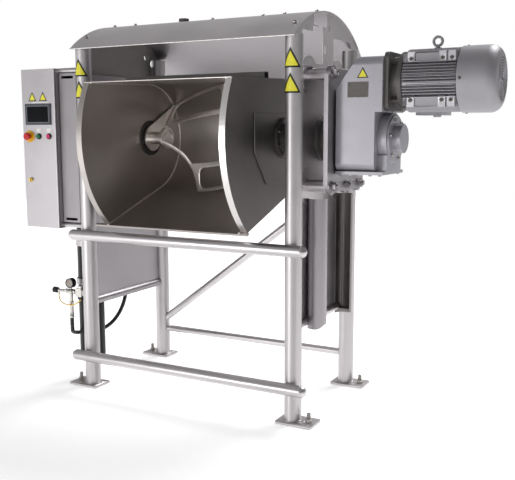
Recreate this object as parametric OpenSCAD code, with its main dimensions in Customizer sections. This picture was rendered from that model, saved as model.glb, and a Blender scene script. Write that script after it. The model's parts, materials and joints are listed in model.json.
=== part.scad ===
/* [Machine] */
// Distance between the left and right leg axes
leg_gap_x = 1130; // [1110:2:1170]
// Distance between the front and rear leg axes
leg_gap_y = 622; // [610:2:650]
// Outer diameter of a leg tube
leg_d = 76; // [70:1:80]
// Height of the shaft axis above the floor
axis_z = 1246; // [1236:1:1256]
// Angle the bowl is tipped forward from upright
tip_angle = 100.5; // [97:0.1:101]

/* [Bowl] */
// Inner width of the bowl between its end walls
bowl_in_w = 726; // [700:2:730]
// Inner radius of the round bottom of the bowl
bowl_r = 272; // [271:0.5:276]
// Radius of the curved mouth rims about the shaft axis
rim_r = 532; // [524:1:534]
// Half of the mouth angle seen from the shaft
mouth_half = 39.2; // [37:0.1:39.4]
// Thickness of one double end wall
wall_w = 31; // [26:1:34]

/* [Agitator] */
// Tip radius of the agitator blades
blade_r = 266; // [256:1:267]
// Width of the inner bar of a blade; the outer bar is narrower
bar_w = 27; // [22:1:32]
// Thickness of the blade plate
blade_t = 8; // [6:1:10]
// Twist of a blade in degrees per metre of its length
blade_twist = 110; // [100:5:120]
// Diameter of the agitator shaft
shaft_d = 64; // [58:1:66]

/* [Hood] */
// Outer radius of the hood sheet
hood_r = 560; // [558:1:566]
// Length of the hood
hood_l = 1188; // [1176:2:1200]

/* [Gearmotor] */
// Height of the motor axis above the shaft axis
motor_rise = 245; // [244:1:250]
// Outer diameter over the motor fins
motor_d = 264; // [250:2:268]
// Outer diameter of the fan cowl
cowl_d = 274; // [270:2:284]
// Diameter of the round cover on the gearbox output
boss_d = 224; // [200:2:226]

/* [Controls] */
// Width of the control cabinet
cab_w = 222; // [212:2:240]
// Height of the control cabinet
cab_h = 788; // [774:2:800]
// Depth of the control cabinet
cab_depth = 200; // [160:5:240]
// Diameter of the emergency stop head
estop_d = 40; // [32:1:44]
// Diameter of the start and stop caps
button_d = 23; // [18:1:25]

/* [Hidden] */
$fn = 64;
lx = leg_gap_x / 2;
ly = leg_gap_y / 2;
leg_r = leg_d / 2;
leg_wall = 3;
fit = 0.3;
ax_y = -10;
far = 2000;

// front rails
rail_r = 26;
rail_y = -ly - leg_r - rail_r - fit;
rail_x0 = -lx - 69;
rail_x1 = lx + 93;
rail_z_hi = 776;
rail_z_lo = 166;

// feet
foot_w = 176;
foot_d = 118;
foot_t = 10;
foot_out = 112;
stud_off = 78;
anchor_in = 46;
anchor_y = 44;

// side plates stand on the leg axes
plate_t = 3;
plate_x = lx + plate_t / 2;
plate_z0 = 431;
plate_z1 = 1556;
side_tube_r = 20;

// bowl
bowl_c = -32;
sheet = 3;
in_x0 = bowl_c - bowl_in_w / 2;
in_x1 = bowl_c + bowl_in_w / 2;
out_x0 = in_x0 - wall_w;
out_x1 = in_x1 + wall_w;
corner_a = 90 - mouth_half;
flat_l = sqrt(rim_r * rim_r - bowl_r * bowl_r);
tangent_a = corner_a - acos(bowl_r / rim_r);
lip_more = 20;
shaft_r = shaft_d / 2;
trunnion_r = 55;
trunnion_bore = 37;
flange_r = 95;
hub_r = 70;

// agitator
blade_off = 46;
blade_s = sqrt(blade_r * blade_r - blade_off * blade_off);
blade_half = bowl_in_w / 2 - 10;
arm_t = 8;
arm_ring = 66;
tip_mid = 77.5;
boss_r = 54;
boss_t = 16;
disc_x = 254;
arm_end = disc_x;
post_w = 26;
window_r = 28;
in_bar_s = 118;
out_bar = bar_w - 7;
blade_end = 66;

// hood
hood_z = axis_z;
hood_sheet = 3;
vent_x = -180;
hood_a0 = 33;
hood_a1 = 130.5;
end_x = lx + 19;
end_t = 3;
front_leg_h = 1680;
rear_leg_h = 1662;

// right side
spacer_r = 27.5;
spacer_y = [-165, 145];
spacer_z = [axis_z - 206, axis_z + 279];
disc_r = 80;
disc_t = 3;
carrier_x = lx + 97;
carrier_t = 20;
gear_x = carrier_x + carrier_t + 8;
gear_x1 = gear_x + 176;
gear_y0 = -155;
gear_y1 = 135;
gear_z0 = axis_z - 139;
gear_z1 = axis_z + 347;
top_x0 = gear_x + 98;
top_x1 = gear_x + 208;
boss_x1 = gear_x1 + 49;
cap_r = 62;
cap_l = 37;
motor_z = axis_z + motor_rise;
adapter_x = top_x1;
motor_x0 = adapter_x + 70;
motor_x1 = motor_x0 + 233;
cowl_x1 = motor_x1 + 157;
motor_r = motor_d / 2;
core_r = motor_r - 20;
cowl_r = cowl_d / 2;
rotor_r = 19;

// left side: tilt drive
drive_x0 = -lx - 149;
drive_x1 = -lx - 40;
drive_y0 = -322;
drive_y1 = 185;
drive_z0 = 829;
drive_z1 = 1563;
drive_t = 2.5;
barrel_x = -lx - 90;
barrel_r = 65;
barrel_in = 60;
barrel_z0 = 118;
rack_m = 8;
sector_teeth = 41;
sector_r = rack_m * sector_teeth / 2;
rack_line = ax_y - sector_r;
rod_y = rack_line - 26;
rod_r = 20;
rack_z0 = axis_z - 312;
rack_z1 = axis_z + 24;
gear_t = 30;
gear_mid = -lx - 92;

// cabinet
cab_x1 = -lx - 151;
cab_x0 = cab_x1 - cab_w;
cab_z0 = 798;
cab_z1 = cab_z0 + cab_h;
door_y = -355;
door_t = 10;
cab_y0 = door_y + door_t;
cab_y1 = cab_y0 + cab_depth;
cab_sheet = 2;
hinge_x = cab_x1 - 6;
hmi_x = -827;
hmi_z = 1365;
estop_x = -889;
start_x = -828;
stop_x = -762;
button_z = 1256;
lock_x = -891;
lock_z = 1038;
button_r = button_d / 2;
estop_r = estop_d / 2;

// air supply
air_y = -311;
air_z = 470;
air_x = -lx - 129;
hose_r = 10;
hose_n = 10;
hose_path = [
    [-694, -311, 364], [-694, -311, 320], [-700, -303, 284], [-716, -286, 256],
    [-734, -258, 240], [-744, -220, 228], [-744, -176, 220], [-734, -138, 215],
    [-716, -106, 214], [-694, -78, 220], [-672, -50, 236], [-652, -24, 262],
    [-637, 4, 300], [-627, 28, 346], [-622, 46, 400], [-621, 56, 460],
    [-624, 60, 530], [-630, 61, 610], [-637, 60, 690], [-640, 60, 750], [-640, 60, 800]
];
line_r = 3;
line_path = [
    [-776, -311, 449], [-776, -311, 440], [-774.5, -311.5, 431], [-770, -313, 422],
    [-762, -315, 414.5], [-751, -318, 409], [-738, -321, 405.5], [-720, -325, 403],
    [-700, -328, 402], [-682, -328, 403.5], [-666, -326, 407], [-652, -322, 412.5],
    [-641, -317, 420], [-634, -313, 428], [-631.5, -311, 436]
];

// ---- helpers

module along_x(x0, x1) {
    translate([x0, 0, 0]) rotate([90, 0, 90]) linear_extrude(x1 - x0) children();
}

module rod_x(r, x0, x1, y = 0, z = 0) {
    translate([x0, y, z]) rotate([0, 90, 0]) cylinder(r = r, h = x1 - x0);
}

module rod_y(r, y0, y1, x = 0, z = 0) {
    translate([x, y0, z]) rotate([-90, 0, 0]) cylinder(r = r, h = y1 - y0);
}

module rod_z(r, z0, z1, x = 0, y = 0) {
    translate([x, y, z0]) cylinder(r = r, h = z1 - z0);
}

module block(a, b) {
    translate(a) cube([b[0] - a[0], b[1] - a[1], b[2] - a[2]]);
}

module at_axis() {
    translate([0, ax_y, axis_z]) children();
}

module round_rect(w, h, r) {
    square([w - 2 * r, h], center = true);
    square([w, h - 2 * r], center = true);
    for (i = [-1, 1], j = [-1, 1]) translate([i * (w / 2 - r), j * (h / 2 - r)]) circle(r);
}

module all_legs(r) {
    for (i = [-1, 1]) {
        rod_z(r, -1, front_leg_h + fit, i * lx, -ly);
        rod_z(r, -1, rear_leg_h + fit, i * lx, ly);
    }
}

// ---- frame

module leg(x, y, h) {
    i = x < 0 ? -1 : 1;
    j = y < 0 ? -1 : 1;
    color("silver") difference() {
        union() {
            rod_z(leg_r, foot_t, h, x, y);
            translate([i * (lx + foot_out - foot_w / 2), y, 0])
                linear_extrude(foot_t) round_rect(foot_w, foot_d, 12);
        }
        rod_z(leg_r - leg_wall, foot_t + 4, h - 3, x, y);
        rod_z(8.6, -1, foot_t + 1, i * (lx + stud_off), y);
        rod_z(7, -1, foot_t + 1, i * (lx - anchor_in), j * (ly - anchor_y));
    }
}

module leg_front_left() leg(-lx, -ly, front_leg_h);
module leg_front_right() leg(lx, -ly, front_leg_h);
module leg_rear_left() leg(-lx, ly, rear_leg_h);
module leg_rear_right() leg(lx, ly, rear_leg_h);

module anchor_bolts() {
    color("silver") for (i = [-1, 1], j = [-1, 1]) translate([i * (lx + stud_off), j * ly, 0]) {
        rod_z(8, 0.5, 52);
        rod_z(16, foot_t, foot_t + 3);
        translate([0, 0, foot_t + 3]) cylinder(r = 13.9, h = 13, $fn = 6);
    }
}

module rail(z) {
    color("silver") difference() {
        union() {
            rod_x(rail_r, rail_x0 + rail_r, rail_x1 - rail_r, rail_y, z);
            translate([rail_x0 + rail_r, rail_y, z]) sphere(rail_r);
            translate([rail_x1 - rail_r, rail_y, z]) sphere(rail_r);
        }
        rod_x(rail_r - 2.5, rail_x0 + rail_r, rail_x1 - rail_r, rail_y, z);
    }
}

module rail_upper() rail(rail_z_hi);
module rail_lower() rail(rail_z_lo);

module rear_bracing() {
    // level tube near the floor and a diagonal tube above it
    rise = 848;
    reach = sqrt(leg_gap_x * leg_gap_x + rise * rise);
    color("silver") difference() {
        union() {
            rod_x(17, -lx, lx, ly, 160);
            translate([-lx, ly, 200]) rotate([0, 90 - atan(rise / leg_gap_x), 0])
                cylinder(r = 19, h = reach);
        }
        all_legs(leg_r + fit);
    }
}

module side_plate(x) {
    color("silver") difference() {
        union() {
            block([x - plate_t / 2, -ly, plate_z0], [x + plate_t / 2, ly, plate_z1]);
            rod_y(side_tube_r, -ly, ly, x, plate_z0);
        }
        rod_y(side_tube_r - 2.5, -ly - 1, ly + 1, x, plate_z0);
        all_legs(leg_r + fit);
        rod_x(66, x - 5, x + 5, ax_y, axis_z);
    }
}

module side_plate_left() side_plate(-lx);
module side_plate_right() side_plate(lx);

// ---- hood

module hood_sheet() {
    color("lightgray") translate([0, ax_y, hood_z]) difference() {
        union() {
            along_x(-hood_l / 2, hood_l / 2) intersection() {
                difference() {
                    circle(hood_r, $fn = 180);
                    circle(hood_r - hood_sheet, $fn = 180);
                }
                polygon([[0, 0], [2 * far * cos(hood_a0), 2 * far * sin(hood_a0)], [0, 2 * far],
                    [2 * far * cos(hood_a1), 2 * far * sin(hood_a1)]]);
            }
            // vent stub and cap screws
            translate([vent_x, 0, hood_r - 2]) cylinder(r = 18, h = 8);
            for (x = hood_l * [-0.47, -0.362, 0.017, 0.244, 0.337, 0.47]) rotate([6, 0, 0])
                translate([x, 0, hood_r - 1]) cylinder(r = 7, h = 5);
            for (x = hood_l * [-0.47, 0.47]) rotate([30, 0, 0])
                translate([x, 0, hood_r - 1]) cylinder(r = 7, h = 5);
        }
        translate([vent_x, 0, 0]) cylinder(r = 14, h = far);
    }
}

module end_cutouts() {
    // front and rear windows with one round upper corner each
    translate([-171, axis_z + 393]) {
        square([108, 134 - 45]);
        translate([-108, -68]) square([216, 112]);
        translate([-108, -68]) square([171, 134]);
        translate([63, 21]) circle(45);
    }
    translate([166, axis_z + 393]) {
        translate([-112, -68]) square([226, 90]);
        translate([-112, -68]) square([181, 124]);
        translate([69, 11]) circle(45);
    }
    // upper opening under the crown, and three slots
    translate([-88, axis_z + 520]) square([150, 62], center = true);
    translate([-88, axis_z + 492]) circle(26);
    translate([-240, axis_z + 470]) square([9, 26], center = true);
    translate([-42, axis_z + 391]) square([7, 36], center = true);
    translate([8, axis_z + 489]) rotate(-30) square([7, 30], center = true);
}

module end_holes() {
    // small slots and a round hole in the closed left end
    translate([-240, axis_z + 470]) square([9, 26], center = true);
    translate([215, axis_z + 426]) rotate(20) square([9, 20], center = true);
    translate([284, axis_z + 398]) circle(20);
}

module hood_end(s) {
    x0 = s > 0 ? end_x : -end_x - end_t;
    ledge0 = s > 0 ? plate_x - plate_t : -end_x;
    ledge1 = s > 0 ? end_x : plate_t - plate_x;
    color("silver") difference() {
        union() {
            difference() {
                along_x(x0, x0 + end_t) intersection() {
                    translate([ax_y, hood_z]) circle(hood_r - hood_sheet - 0.2, $fn = 180);
                    translate([-ly - 42, plate_z1]) square([2 * ly + 84, 400]);
                }
                along_x(x0 - 1, x0 + end_t + 1) if (s > 0) end_cutouts(); else end_holes();
            }
            block([ledge0, -ly, plate_z1], [ledge1, ly, plate_z1 + end_t]);
        }
        all_legs(leg_r + 1);
        for (y = spacer_y) rod_x(disc_r + fit, plate_x - 1, plate_x + disc_t + fit, y, spacer_z[1]);
    }
}

module hood_end_left() hood_end(-1);
module hood_end_right() hood_end(1);

module vent_cap() {
    color("dimgray") translate([vent_x, ax_y, hood_z + hood_r + 6]) {
        cylinder(r = 24, h = 14);
        translate([0, 0, -12]) cylinder(r = 13.9, h = 13);
    }
}

module sign_on_leg(x, z) {
    intersection() {
        difference() {
            rod_z(leg_r + 0.7, z - 60, z + 60, x, -ly);
            rod_z(leg_r + 0.1, z - 61, z + 61, x, -ly);
        }
        translate([x, -ly, z]) rotate([90, 0, 0]) linear_extrude(60)
            polygon([for (i = [-4:4]) [leg_r * sin(17.5 * i), 42 - 21 * abs(i)]]);
    }
}

module warning_signs() {
    color("gold") {
        for (x = [-lx, lx], z = [1480, 1584]) sign_on_leg(x, z);
        translate([top_x0 + 22, gear_y0, axis_z + 278]) rotate([90, 0, 0])
            linear_extrude(0.6) polygon([[-26, -22], [26, -22], [0, 23]]);
    }
}

// ---- right side

module spacer_tubes() {
    color("silver") for (y = spacer_y, z = spacer_z) difference() {
        union() {
            rod_x(disc_r, plate_x, plate_x + disc_t, y, z);
            rod_x(spacer_r, plate_x, carrier_x, y, z);
        }
        rod_x(spacer_r - 4, plate_x + disc_t, carrier_x + 1, y, z);
    }
}

module carrier_plate() {
    x = carrier_x + carrier_t;
    color("silver") {
        for (y = spacer_y, z = spacer_z) hex_bolt_x(20, x, y, z);
        hex_bolt_x(15, x, -10, spacer_z[0]);
    }
    color("silver") difference() {
        along_x(carrier_x, carrier_x + carrier_t) difference() {
            union() {
                translate([-10 - 212, spacer_z[0] + 6])
                    square([424, spacer_z[1] - spacer_z[0] - 12]);
                translate([-10 - 180, spacer_z[0] - 26])
                    square([360, spacer_z[1] - spacer_z[0] + 48]);
                for (y = spacer_y, z = spacer_z) translate([y, z]) circle(36);
                translate([-10, spacer_z[0]]) circle(36);
            }
            translate([ax_y, axis_z]) circle(78);
        }
    }
}

module hex_bolt_x(r, x, y, z) {
    rod_x(r * 1.25, x, x + 4, y, z);
    translate([x + 4, y, z]) rotate([0, 90, 0]) cylinder(r = r, h = 16, $fn = 6);
    rod_x(r * 0.55, x + 20, x + 28, y, z);
}

module guard(y, s) {
    // half-round trough standing on the side plate
    x = plate_x + 42;
    h = s > 0 ? -60 : 0;
    color("silver") difference() {
        union() {
            translate([x, y, 400]) linear_extrude(585) {
                difference() {
                    circle(41.7);
                    circle(39.2);
                    translate([-60, h]) square([120, 60]);
                }
                translate([39.2, s > 0 ? -16 : -0.5]) square([2.5, 16.5]);
            }
            translate([x, y, 425]) linear_extrude(3) difference() {
                circle(40);
                translate([-60, h]) square([120, 60]);
            }
        }
        translate([0, y, 0]) rotate([90, 0, 0]) translate([0, 0, -60]) linear_extrude(120)
            difference() {
                translate([x + 12, 390]) square([40, 40]);
                translate([x + 12, 430]) circle(30);
            }
        for (v = spacer_y)
            rod_x(disc_r + fit, plate_x - 1, plate_x + disc_t + fit, v, spacer_z[0]);
        rod_y(side_tube_r + fit, y - 60, y + 60, lx, plate_z0);
    }
}

module pipe_guards() {
    guard(-158, -1);
    guard(152, 1);
}

module gearbox_housing() {
    color("darkgray") difference() {
        intersection() {
            along_x(gear_x - 10, top_x1 + 10) {
                translate([(gear_y0 + gear_y1) / 2, (gear_z0 + gear_z1) / 2])
                    round_rect(gear_y1 - gear_y0, gear_z1 - gear_z0, 38);
            }
            translate([0, 300, 0]) rotate([90, 0, 0]) linear_extrude(600) polygon([
                [gear_x, gear_z0], [gear_x1, gear_z0], [gear_x1, axis_z + 114],
                [top_x1, axis_z + 114], [top_x1, gear_z1], [top_x0, gear_z1],
                [gear_x + 18, axis_z + 238], [gear_x, axis_z + 212]]);
        }
        rod_x(shaft_r + 0.05, gear_x - 20, boss_x1, ax_y, axis_z);
    }
    color("darkgray") difference() {
        rod_x(118, carrier_x + carrier_t, gear_x + 1, ax_y, axis_z);
        rod_x(shaft_r + 0.05, carrier_x + carrier_t - 1, gear_x + 2, ax_y, axis_z);
    }
    color("darkgray") {
        block([gear_x - 3, gear_y0 + 8, gear_z0 - 14], [boss_x1 - 12, gear_y1 - 8, gear_z0]);
        for (i = [0:4], y = [gear_y0 + 26, gear_y1 - 26])
            translate([gear_x + 18 + i * 44, y, gear_z0 - 20]) cylinder(r = 8, h = 6, $fn = 6);
        difference() {
            block([gear_x1, -105, gear_z0], [gear_x1 + 40, 85, gear_z0 + 70]);
            rod_x(boss_d / 2 + fit, gear_x1 - 1, boss_x1, ax_y, axis_z);
        }
    }
}

module output_cover() {
    color("darkgray") difference() {
        union() {
            rod_x(boss_d / 2, gear_x1, boss_x1 - 8, ax_y, axis_z);
            rod_x(boss_d / 2 - 9, boss_x1 - 8, boss_x1, ax_y, axis_z);
            for (a = [20:60:320]) at_axis() rotate([a, 0, 0])
                translate([boss_x1 - 1, 0, 88]) rotate([0, 90, 0]) cylinder(r = 6, h = 5);
        }
        rod_x(shaft_r + 0.05, gear_x1 - 1, boss_x1 + 1, ax_y, axis_z);
    }
    color("darkgray") difference() {
        union() {
            rod_x(cap_r, boss_x1, boss_x1 + cap_l, ax_y, axis_z);
            block([boss_x1, ax_y - 26, axis_z + 44], [boss_x1 + cap_l - 6, ax_y + 26, axis_z + 66]);
        }
        rod_x(45, boss_x1 - 1, boss_x1 + cap_l - 5, ax_y, axis_z);
    }
}

module nameplate() {
    color("gray") {
        block([gear_x + 54, gear_y0 - 1, axis_z + 176], [gear_x + 145, gear_y0, axis_z + 241]);
        for (x = [gear_x + 60, gear_x + 139], z = [axis_z + 182, axis_z + 235])
            rod_y(2.5, gear_y0 - 2.2, gear_y0 - 1, x, z);
    }
}

module motor_adapter() {
    color("dimgray") difference() {
        union() {
            along_x(adapter_x, adapter_x + 19)
                translate([ax_y, motor_z - 4]) round_rect(256, 246, 30);
            translate([adapter_x + 19, ax_y, motor_z]) rotate([0, 90, 0]) {
                cylinder(r = 104, h = 31);
                translate([0, 0, 31]) cylinder(r = 124, h = 20);
            }
            for (a = [45:90:315]) translate([adapter_x + 19, ax_y, motor_z]) rotate([a, 0, 0])
                block([0, -8, 90], [31, 8, 122]);
        }
        rod_x(22, adapter_x - 1, motor_x0 + 1, ax_y, motor_z);
    }
}

module motor_frame() {
    color("dimgray") translate([0, ax_y, motor_z]) difference() {
        union() {
            rod_x(core_r, motor_x0, motor_x1);
            intersection() {
                rod_x(motor_r, motor_x0 + 6, motor_x1 - 4);
                union() {
                    for (i = [-6:6]) block([motor_x0, -motor_r, i * 12 - 2],
                        [motor_x1, motor_r, i * 12 + 2]);
                    for (i = [-5:5]) block([motor_x0, i * 12 - 2, -motor_r],
                        [motor_x1, i * 12 + 2, motor_r]);
                }
            }
        }
        rod_x(rotor_r + 0.05, motor_x1 - 60, motor_x1 + 1);
    }
    motor_pads();
    motor_top();
}

module motor_pads() {
    // machined pads at the four corners of the frame, with tapped holes
    color("dimgray") translate([0, ax_y, motor_z]) for (i = [-1, 1], j = [-1, 1]) difference() {
        union() {
            for (x = [motor_x0 + 40, motor_x1 - 62, motor_x1 - 24])
                translate([x - 15, i > 0 ? 76 : -110, j > 0 ? 64 : -112]) cube([30, 34, 48]);
            translate([motor_x0 + 4, i > 0 ? 62 : -104, j > 0 ? 72 : -106])
                cube([motor_x1 - motor_x0 - 6, 42, 34]);
        }
        rod_x(core_r - 6, motor_x0 - 1, motor_x1 + 1);
        for (x = [motor_x0 + 40, motor_x1 - 62, motor_x1 - 24])
            rod_y(6, i > 0 ? 96 : -120, i > 0 ? 120 : -96, x, j * 84);
    }
}

module motor_top() {
    // terminal box low at the back, and the lifting eye
    color("dimgray") difference() {
        union() {
            translate([motor_x0 + 22, ax_y + 30, motor_z - 144]) cube([118, 140, 130]);
            rod_z(17, motor_z - 152, motor_z - 140, motor_x0 + 108, ax_y + 62);
        }
        rod_x(core_r - 6, motor_x0 - 1, motor_x1 + 1, ax_y, motor_z);
    }
    color("silver") translate([motor_x0 + 120, ax_y, 0]) {
        rod_z(15, motor_z + core_r - 4, motor_z + motor_r + 3);
        rod_z(8, motor_z + motor_r, motor_z + motor_r + 14);
        translate([0, 0, motor_z + motor_r + 29]) rotate([90, 0, 0])
            rotate_extrude() translate([18.5, 0]) circle(6);
    }
}

module fan_cowl() {
    r1 = cowl_r;
    color("gray") translate([motor_x1 + 1, ax_y, motor_z]) rotate([0, 90, 0]) rotate_extrude($fn = 96) {
        len = cowl_x1 - motor_x1 - 1;
        difference() {
            union() {
                square([r1, len - 45]);
                square([r1 - 45, len]);
                translate([r1 - 45, len - 45]) circle(45);
            }
            translate([0, -1]) square([r1 - 3, len - 45 + 1]);
            translate([0, -1]) square([r1 - 45, len - 3 + 1]);
            translate([r1 - 45, len - 45]) circle(42);
            translate([0, len - 10]) square([r1 - 42, 20]);
            translate([-400, -400]) square([400, 800]);
        }
    }
    // inner ring that seats on the end of the motor frame
    color("gray") difference() {
        rod_x(cowl_r - 2, motor_x1, motor_x1 + 3, ax_y, motor_z);
        rod_x(core_r - 14, motor_x1 - 1, motor_x1 + 4, ax_y, motor_z);
    }
    color("gray") translate([cowl_x1 - 3, ax_y, motor_z]) rotate([0, 90, 0]) difference() {
        cylinder(r = cowl_r - 41, h = 3);
        for (k = [1:6]) for (i = [0:6 * k - 1]) rotate([0, 0, i * 60 / k + k * 11])
            translate([k * 14, 0, -1]) cylinder(r = 4.6, h = 5, $fn = 16);
    }
}

module motor_rotor() {
    color("black") translate([motor_x1, ax_y, motor_z]) {
        rod_x(rotor_r, -50, 88);
        rod_x(34, 20, 80);
        for (a = [0:45:315]) rotate([a, 0, 0]) block([22, -2, 30], [78, 2, 118]);
        rod_x(112, 18, 22);
    }
}

module bearing(s) {
    w = s > 0 ? 46 : 36;
    m = s > 0 ? 0 : 1;
    color("dimgray") mirror([m, 0, 0]) difference() {
        union() {
            rod_x(102, plate_x, plate_x + 16, ax_y, axis_z);
            rod_x(96, plate_x + 16, plate_x + 22, ax_y, axis_z);
            rod_x(88, plate_x + 22, plate_x + w - 6, ax_y, axis_z);
            rod_x(74, plate_x + w - 6, plate_x + w, ax_y, axis_z);
        }
        rod_x(trunnion_r + 0.05, plate_x - 1, plate_x + w + 1, ax_y, axis_z);
    }
}

module bearings() {
    bearing(-1);
    bearing(1);
}

// ---- bowl, drawn upright about the shaft and then tipped forward

module tipped() {
    at_axis() rotate([tip_angle, 0, 0]) children();
}

// round bottom with two straight sides that run on along its tangents
function side_point(r, l) = [r * cos(tangent_a) - l * sin(tangent_a), r * sin(tangent_a) + l * cos(tangent_a)];

module trough(r, front, back) {
    a = side_point(r, 0);
    b = side_point(r, back);
    f = side_point(r, front);
    circle(r, $fn = 180);
    polygon([a, b, [-f[0], f[1]], [-a[0], a[1]]]);
}

module bowl_shell() {
    color("lightgray") tipped() along_x(out_x0 + sheet, out_x1 - sheet) difference() {
        trough(bowl_r + sheet, flat_l + lip_more, flat_l + 3);
        trough(bowl_r, flat_l + 90, flat_l + 90);
    }
    // drip edge across the full width of the bowl, past the end walls
    color("lightgray") tipped() along_x(out_x0 - 44, out_x1 + 8) mirror([1, 0]) rotate(tangent_a)
        translate([bowl_r, flat_l + 2]) square([9, lip_more - 2]);
}

module wall_block(x0, x1, r, mouth_r) {
    intersection() {
        along_x(x0, x1) trough(r, flat_l + 240, flat_l + 240);
        rod_x(mouth_r, x0 - 1, x1 + 1);
    }
}

module bowl_wall(x0, x1, gap0, gap1) {
    // inner sheet, outer sheet, the band between them at the mouth, and a sleeve at the shaft
    color("silver") difference() {
        union() {
            tipped() difference() {
                wall_block(x0, x1, bowl_r - fit, rim_r);
                wall_block(gap0, gap1, bowl_r + 40, rim_r - sheet);
            }
            rod_x(52, gap0 - 1, gap1 + 1, ax_y, axis_z);
        }
        rod_x(trunnion_bore, x0 - 1, x1 + 1, ax_y, axis_z);
    }
    color("silver") difference() {
        tipped() wall_block(gap0 > x0 + 2 * sheet ? gap1 : x0, gap0 > x0 + 2 * sheet ? x1 : gap0,
            bowl_r + sheet, rim_r);
        rod_x(trunnion_bore, x0 - 1, x1 + 1, ax_y, axis_z);
    }
}

module bowl_wall_left() bowl_wall(out_x0, in_x0, out_x0 + sheet, in_x0 - sheet);
module bowl_wall_right() mirror_wall();

module mirror_wall() {
    translate([2 * bowl_c, 0, 0]) mirror([1, 0, 0]) bowl_wall_left();
}

module bowl_stiffener() {
    color("dimgray") tipped() along_x(out_x0 + 20, out_x1 - 2) rotate(tangent_a)
        translate([bowl_r + sheet, 130]) difference() {
            square([28, 40]);
            translate([-1, 3]) square([26, 34]);
        }
}

module trunnion(s) {
    m = s > 0 ? 0 : 1;
    x0 = s > 0 ? out_x1 : -out_x0;
    end = s > 0 ? lx + 56 : lx + 124;
    color("silver") mirror([m, 0, 0]) difference() {
        union() {
            along_x(x0, x0 + 6) translate([ax_y, axis_z])
                polygon([[-285, 115], [200, 115], [200, -130], [120, -205], [-170, -205], [-285, -60]]);
            rod_x(flange_r, x0 + 6, x0 + 20, ax_y, axis_z);
            rod_x(hub_r, x0 + 20, x0 + 68, ax_y, axis_z);
            rod_x(trunnion_r, x0 + 68, end, ax_y, axis_z);
        }
        rod_x(trunnion_bore, x0 - 1, x0 + 21, ax_y, axis_z);
        rod_x(shaft_r + 0.05, x0 + 20, x0 + 60, ax_y, axis_z);
        rod_x(trunnion_bore, x0 + 59, end + 1, ax_y, axis_z);
    }
}

module trunnion_left() trunnion(-1);
module trunnion_right() trunnion(1);

module trunnion_bolts() {
    color("silver") for (a = [22.5:45:360]) at_axis() rotate([a, 0, 0]) {
        translate([out_x1 + 20, 0, 82]) rotate([0, 90, 0]) cylinder(r = 9, h = 8, $fn = 6);
        translate([out_x0 - 28, 0, 82]) rotate([0, 90, 0]) cylinder(r = 9, h = 8, $fn = 6);
    }
}

// ---- tilt drive

function inv_deg(a) = tan(a) * 180 / PI - a;
base_r = sector_r * cos(20);
function half_tooth(r) = 90 / sector_teeth - 0.12 + inv_deg(20) - inv_deg(acos(min(1, base_r / r)));

module sector_tooth() {
    r = [for (i = [0:6]) base_r + 0.2 + i * (sector_r + rack_m - base_r - 0.2) / 6];
    polygon(concat(
        [[base_r - 12, 6]],
        [for (q = r) [q * cos(half_tooth(q)), q * sin(half_tooth(q))]],
        [for (i = [6:-1:0]) [r[i] * cos(half_tooth(r[i])), -r[i] * sin(half_tooth(r[i]))]],
        [[base_r - 12, -6]]));
}

module tilt_sector() {
    pitch = 360 / sector_teeth;
    color("gray") at_axis() along_x(gear_mid - gear_t / 2, gear_mid + gear_t / 2) difference() {
        union() {
            circle(84);
            intersection() {
                circle(base_r - 2);
                polygon(concat([[0, 0]], [for (a = [156:24:300]) [250 * cos(a), 250 * sin(a)]]));
            }
            for (i = [-2:13]) rotate(180 + i * pitch) sector_tooth();
        }
        circle(trunnion_r + 0.05);
    }
}

module tilt_rod() {
    // piston, rod and the rack at its top
    pitch = PI * rack_m;
    color("gainsboro") {
        rod_z(barrel_in - 0.05, 470, 490, barrel_x, rod_y);
        rod_z(rod_r, 489, rack_z0 + 1, barrel_x, rod_y);
        translate([gear_mid - gear_t / 2 + 2, 0, 0]) rotate([90, 0, 90])
            linear_extrude(gear_t - 4) difference() {
                translate([rack_line - 40, rack_z0]) square([48, rack_z1 - rack_z0]);
                for (i = [-13:1]) translate([rack_line, axis_z + i * pitch]) polygon([
                    [9, -pitch / 4 - 3.5], [9, pitch / 4 + 3.5],
                    [-10, pitch / 4 - 3.4], [-10, -pitch / 4 + 3.4]]);
            }
    }
}

module tilt_barrel() {
    color("black") translate([barrel_x, rod_y, 0]) difference() {
        union() {
            rod_z(barrel_r, barrel_z0, cab_z0 - 6);
            rod_z(48, cab_z0 - 7, drive_z0);
        }
        rod_z(barrel_in, barrel_z0 + 12, cab_z0 - 14);
        rod_z(rod_r + 0.05, cab_z0 - 20, drive_z0 + 1);
    }
}

module barrel_clamps() {
    color("silver") for (z = [500, 700]) difference() {
        union() {
            rod_z(barrel_r + 7, z, z + 30, barrel_x, rod_y);
            block([barrel_x, rod_y - 30, z], [-plate_x, rod_y + 30, z + 30]);
        }
        rod_z(barrel_r + fit, z - 1, z + 31, barrel_x, rod_y);
    }
}

module drive_housing() {
    color("silver") difference() {
        block([drive_x0, drive_y0, drive_z0], [drive_x1, drive_y1, drive_z1]);
        block([drive_x0 + drive_t, drive_y0 - 1, drive_z0 + drive_t],
            [drive_x1 - drive_t, drive_y1 - drive_t, drive_z1 - drive_t]);
        rod_x(72, drive_x1 - 5, drive_x1 + 1, ax_y, axis_z);
        rod_z(rod_r + 4, drive_z0 - 1, drive_z0 + 5, barrel_x, rod_y);
    }
    color("silver") for (y = [-180, 120], z = [900, 1490]) rod_x(12, drive_x1 - 1, -plate_x, y, z);
    color("silver") difference() {
        rod_z(15, drive_z0 - 29, drive_z0 + 1, -640, 60);
        rod_z(5, drive_z0 - 30, drive_z0 - 10, -640, 60);
    }
}

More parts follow.
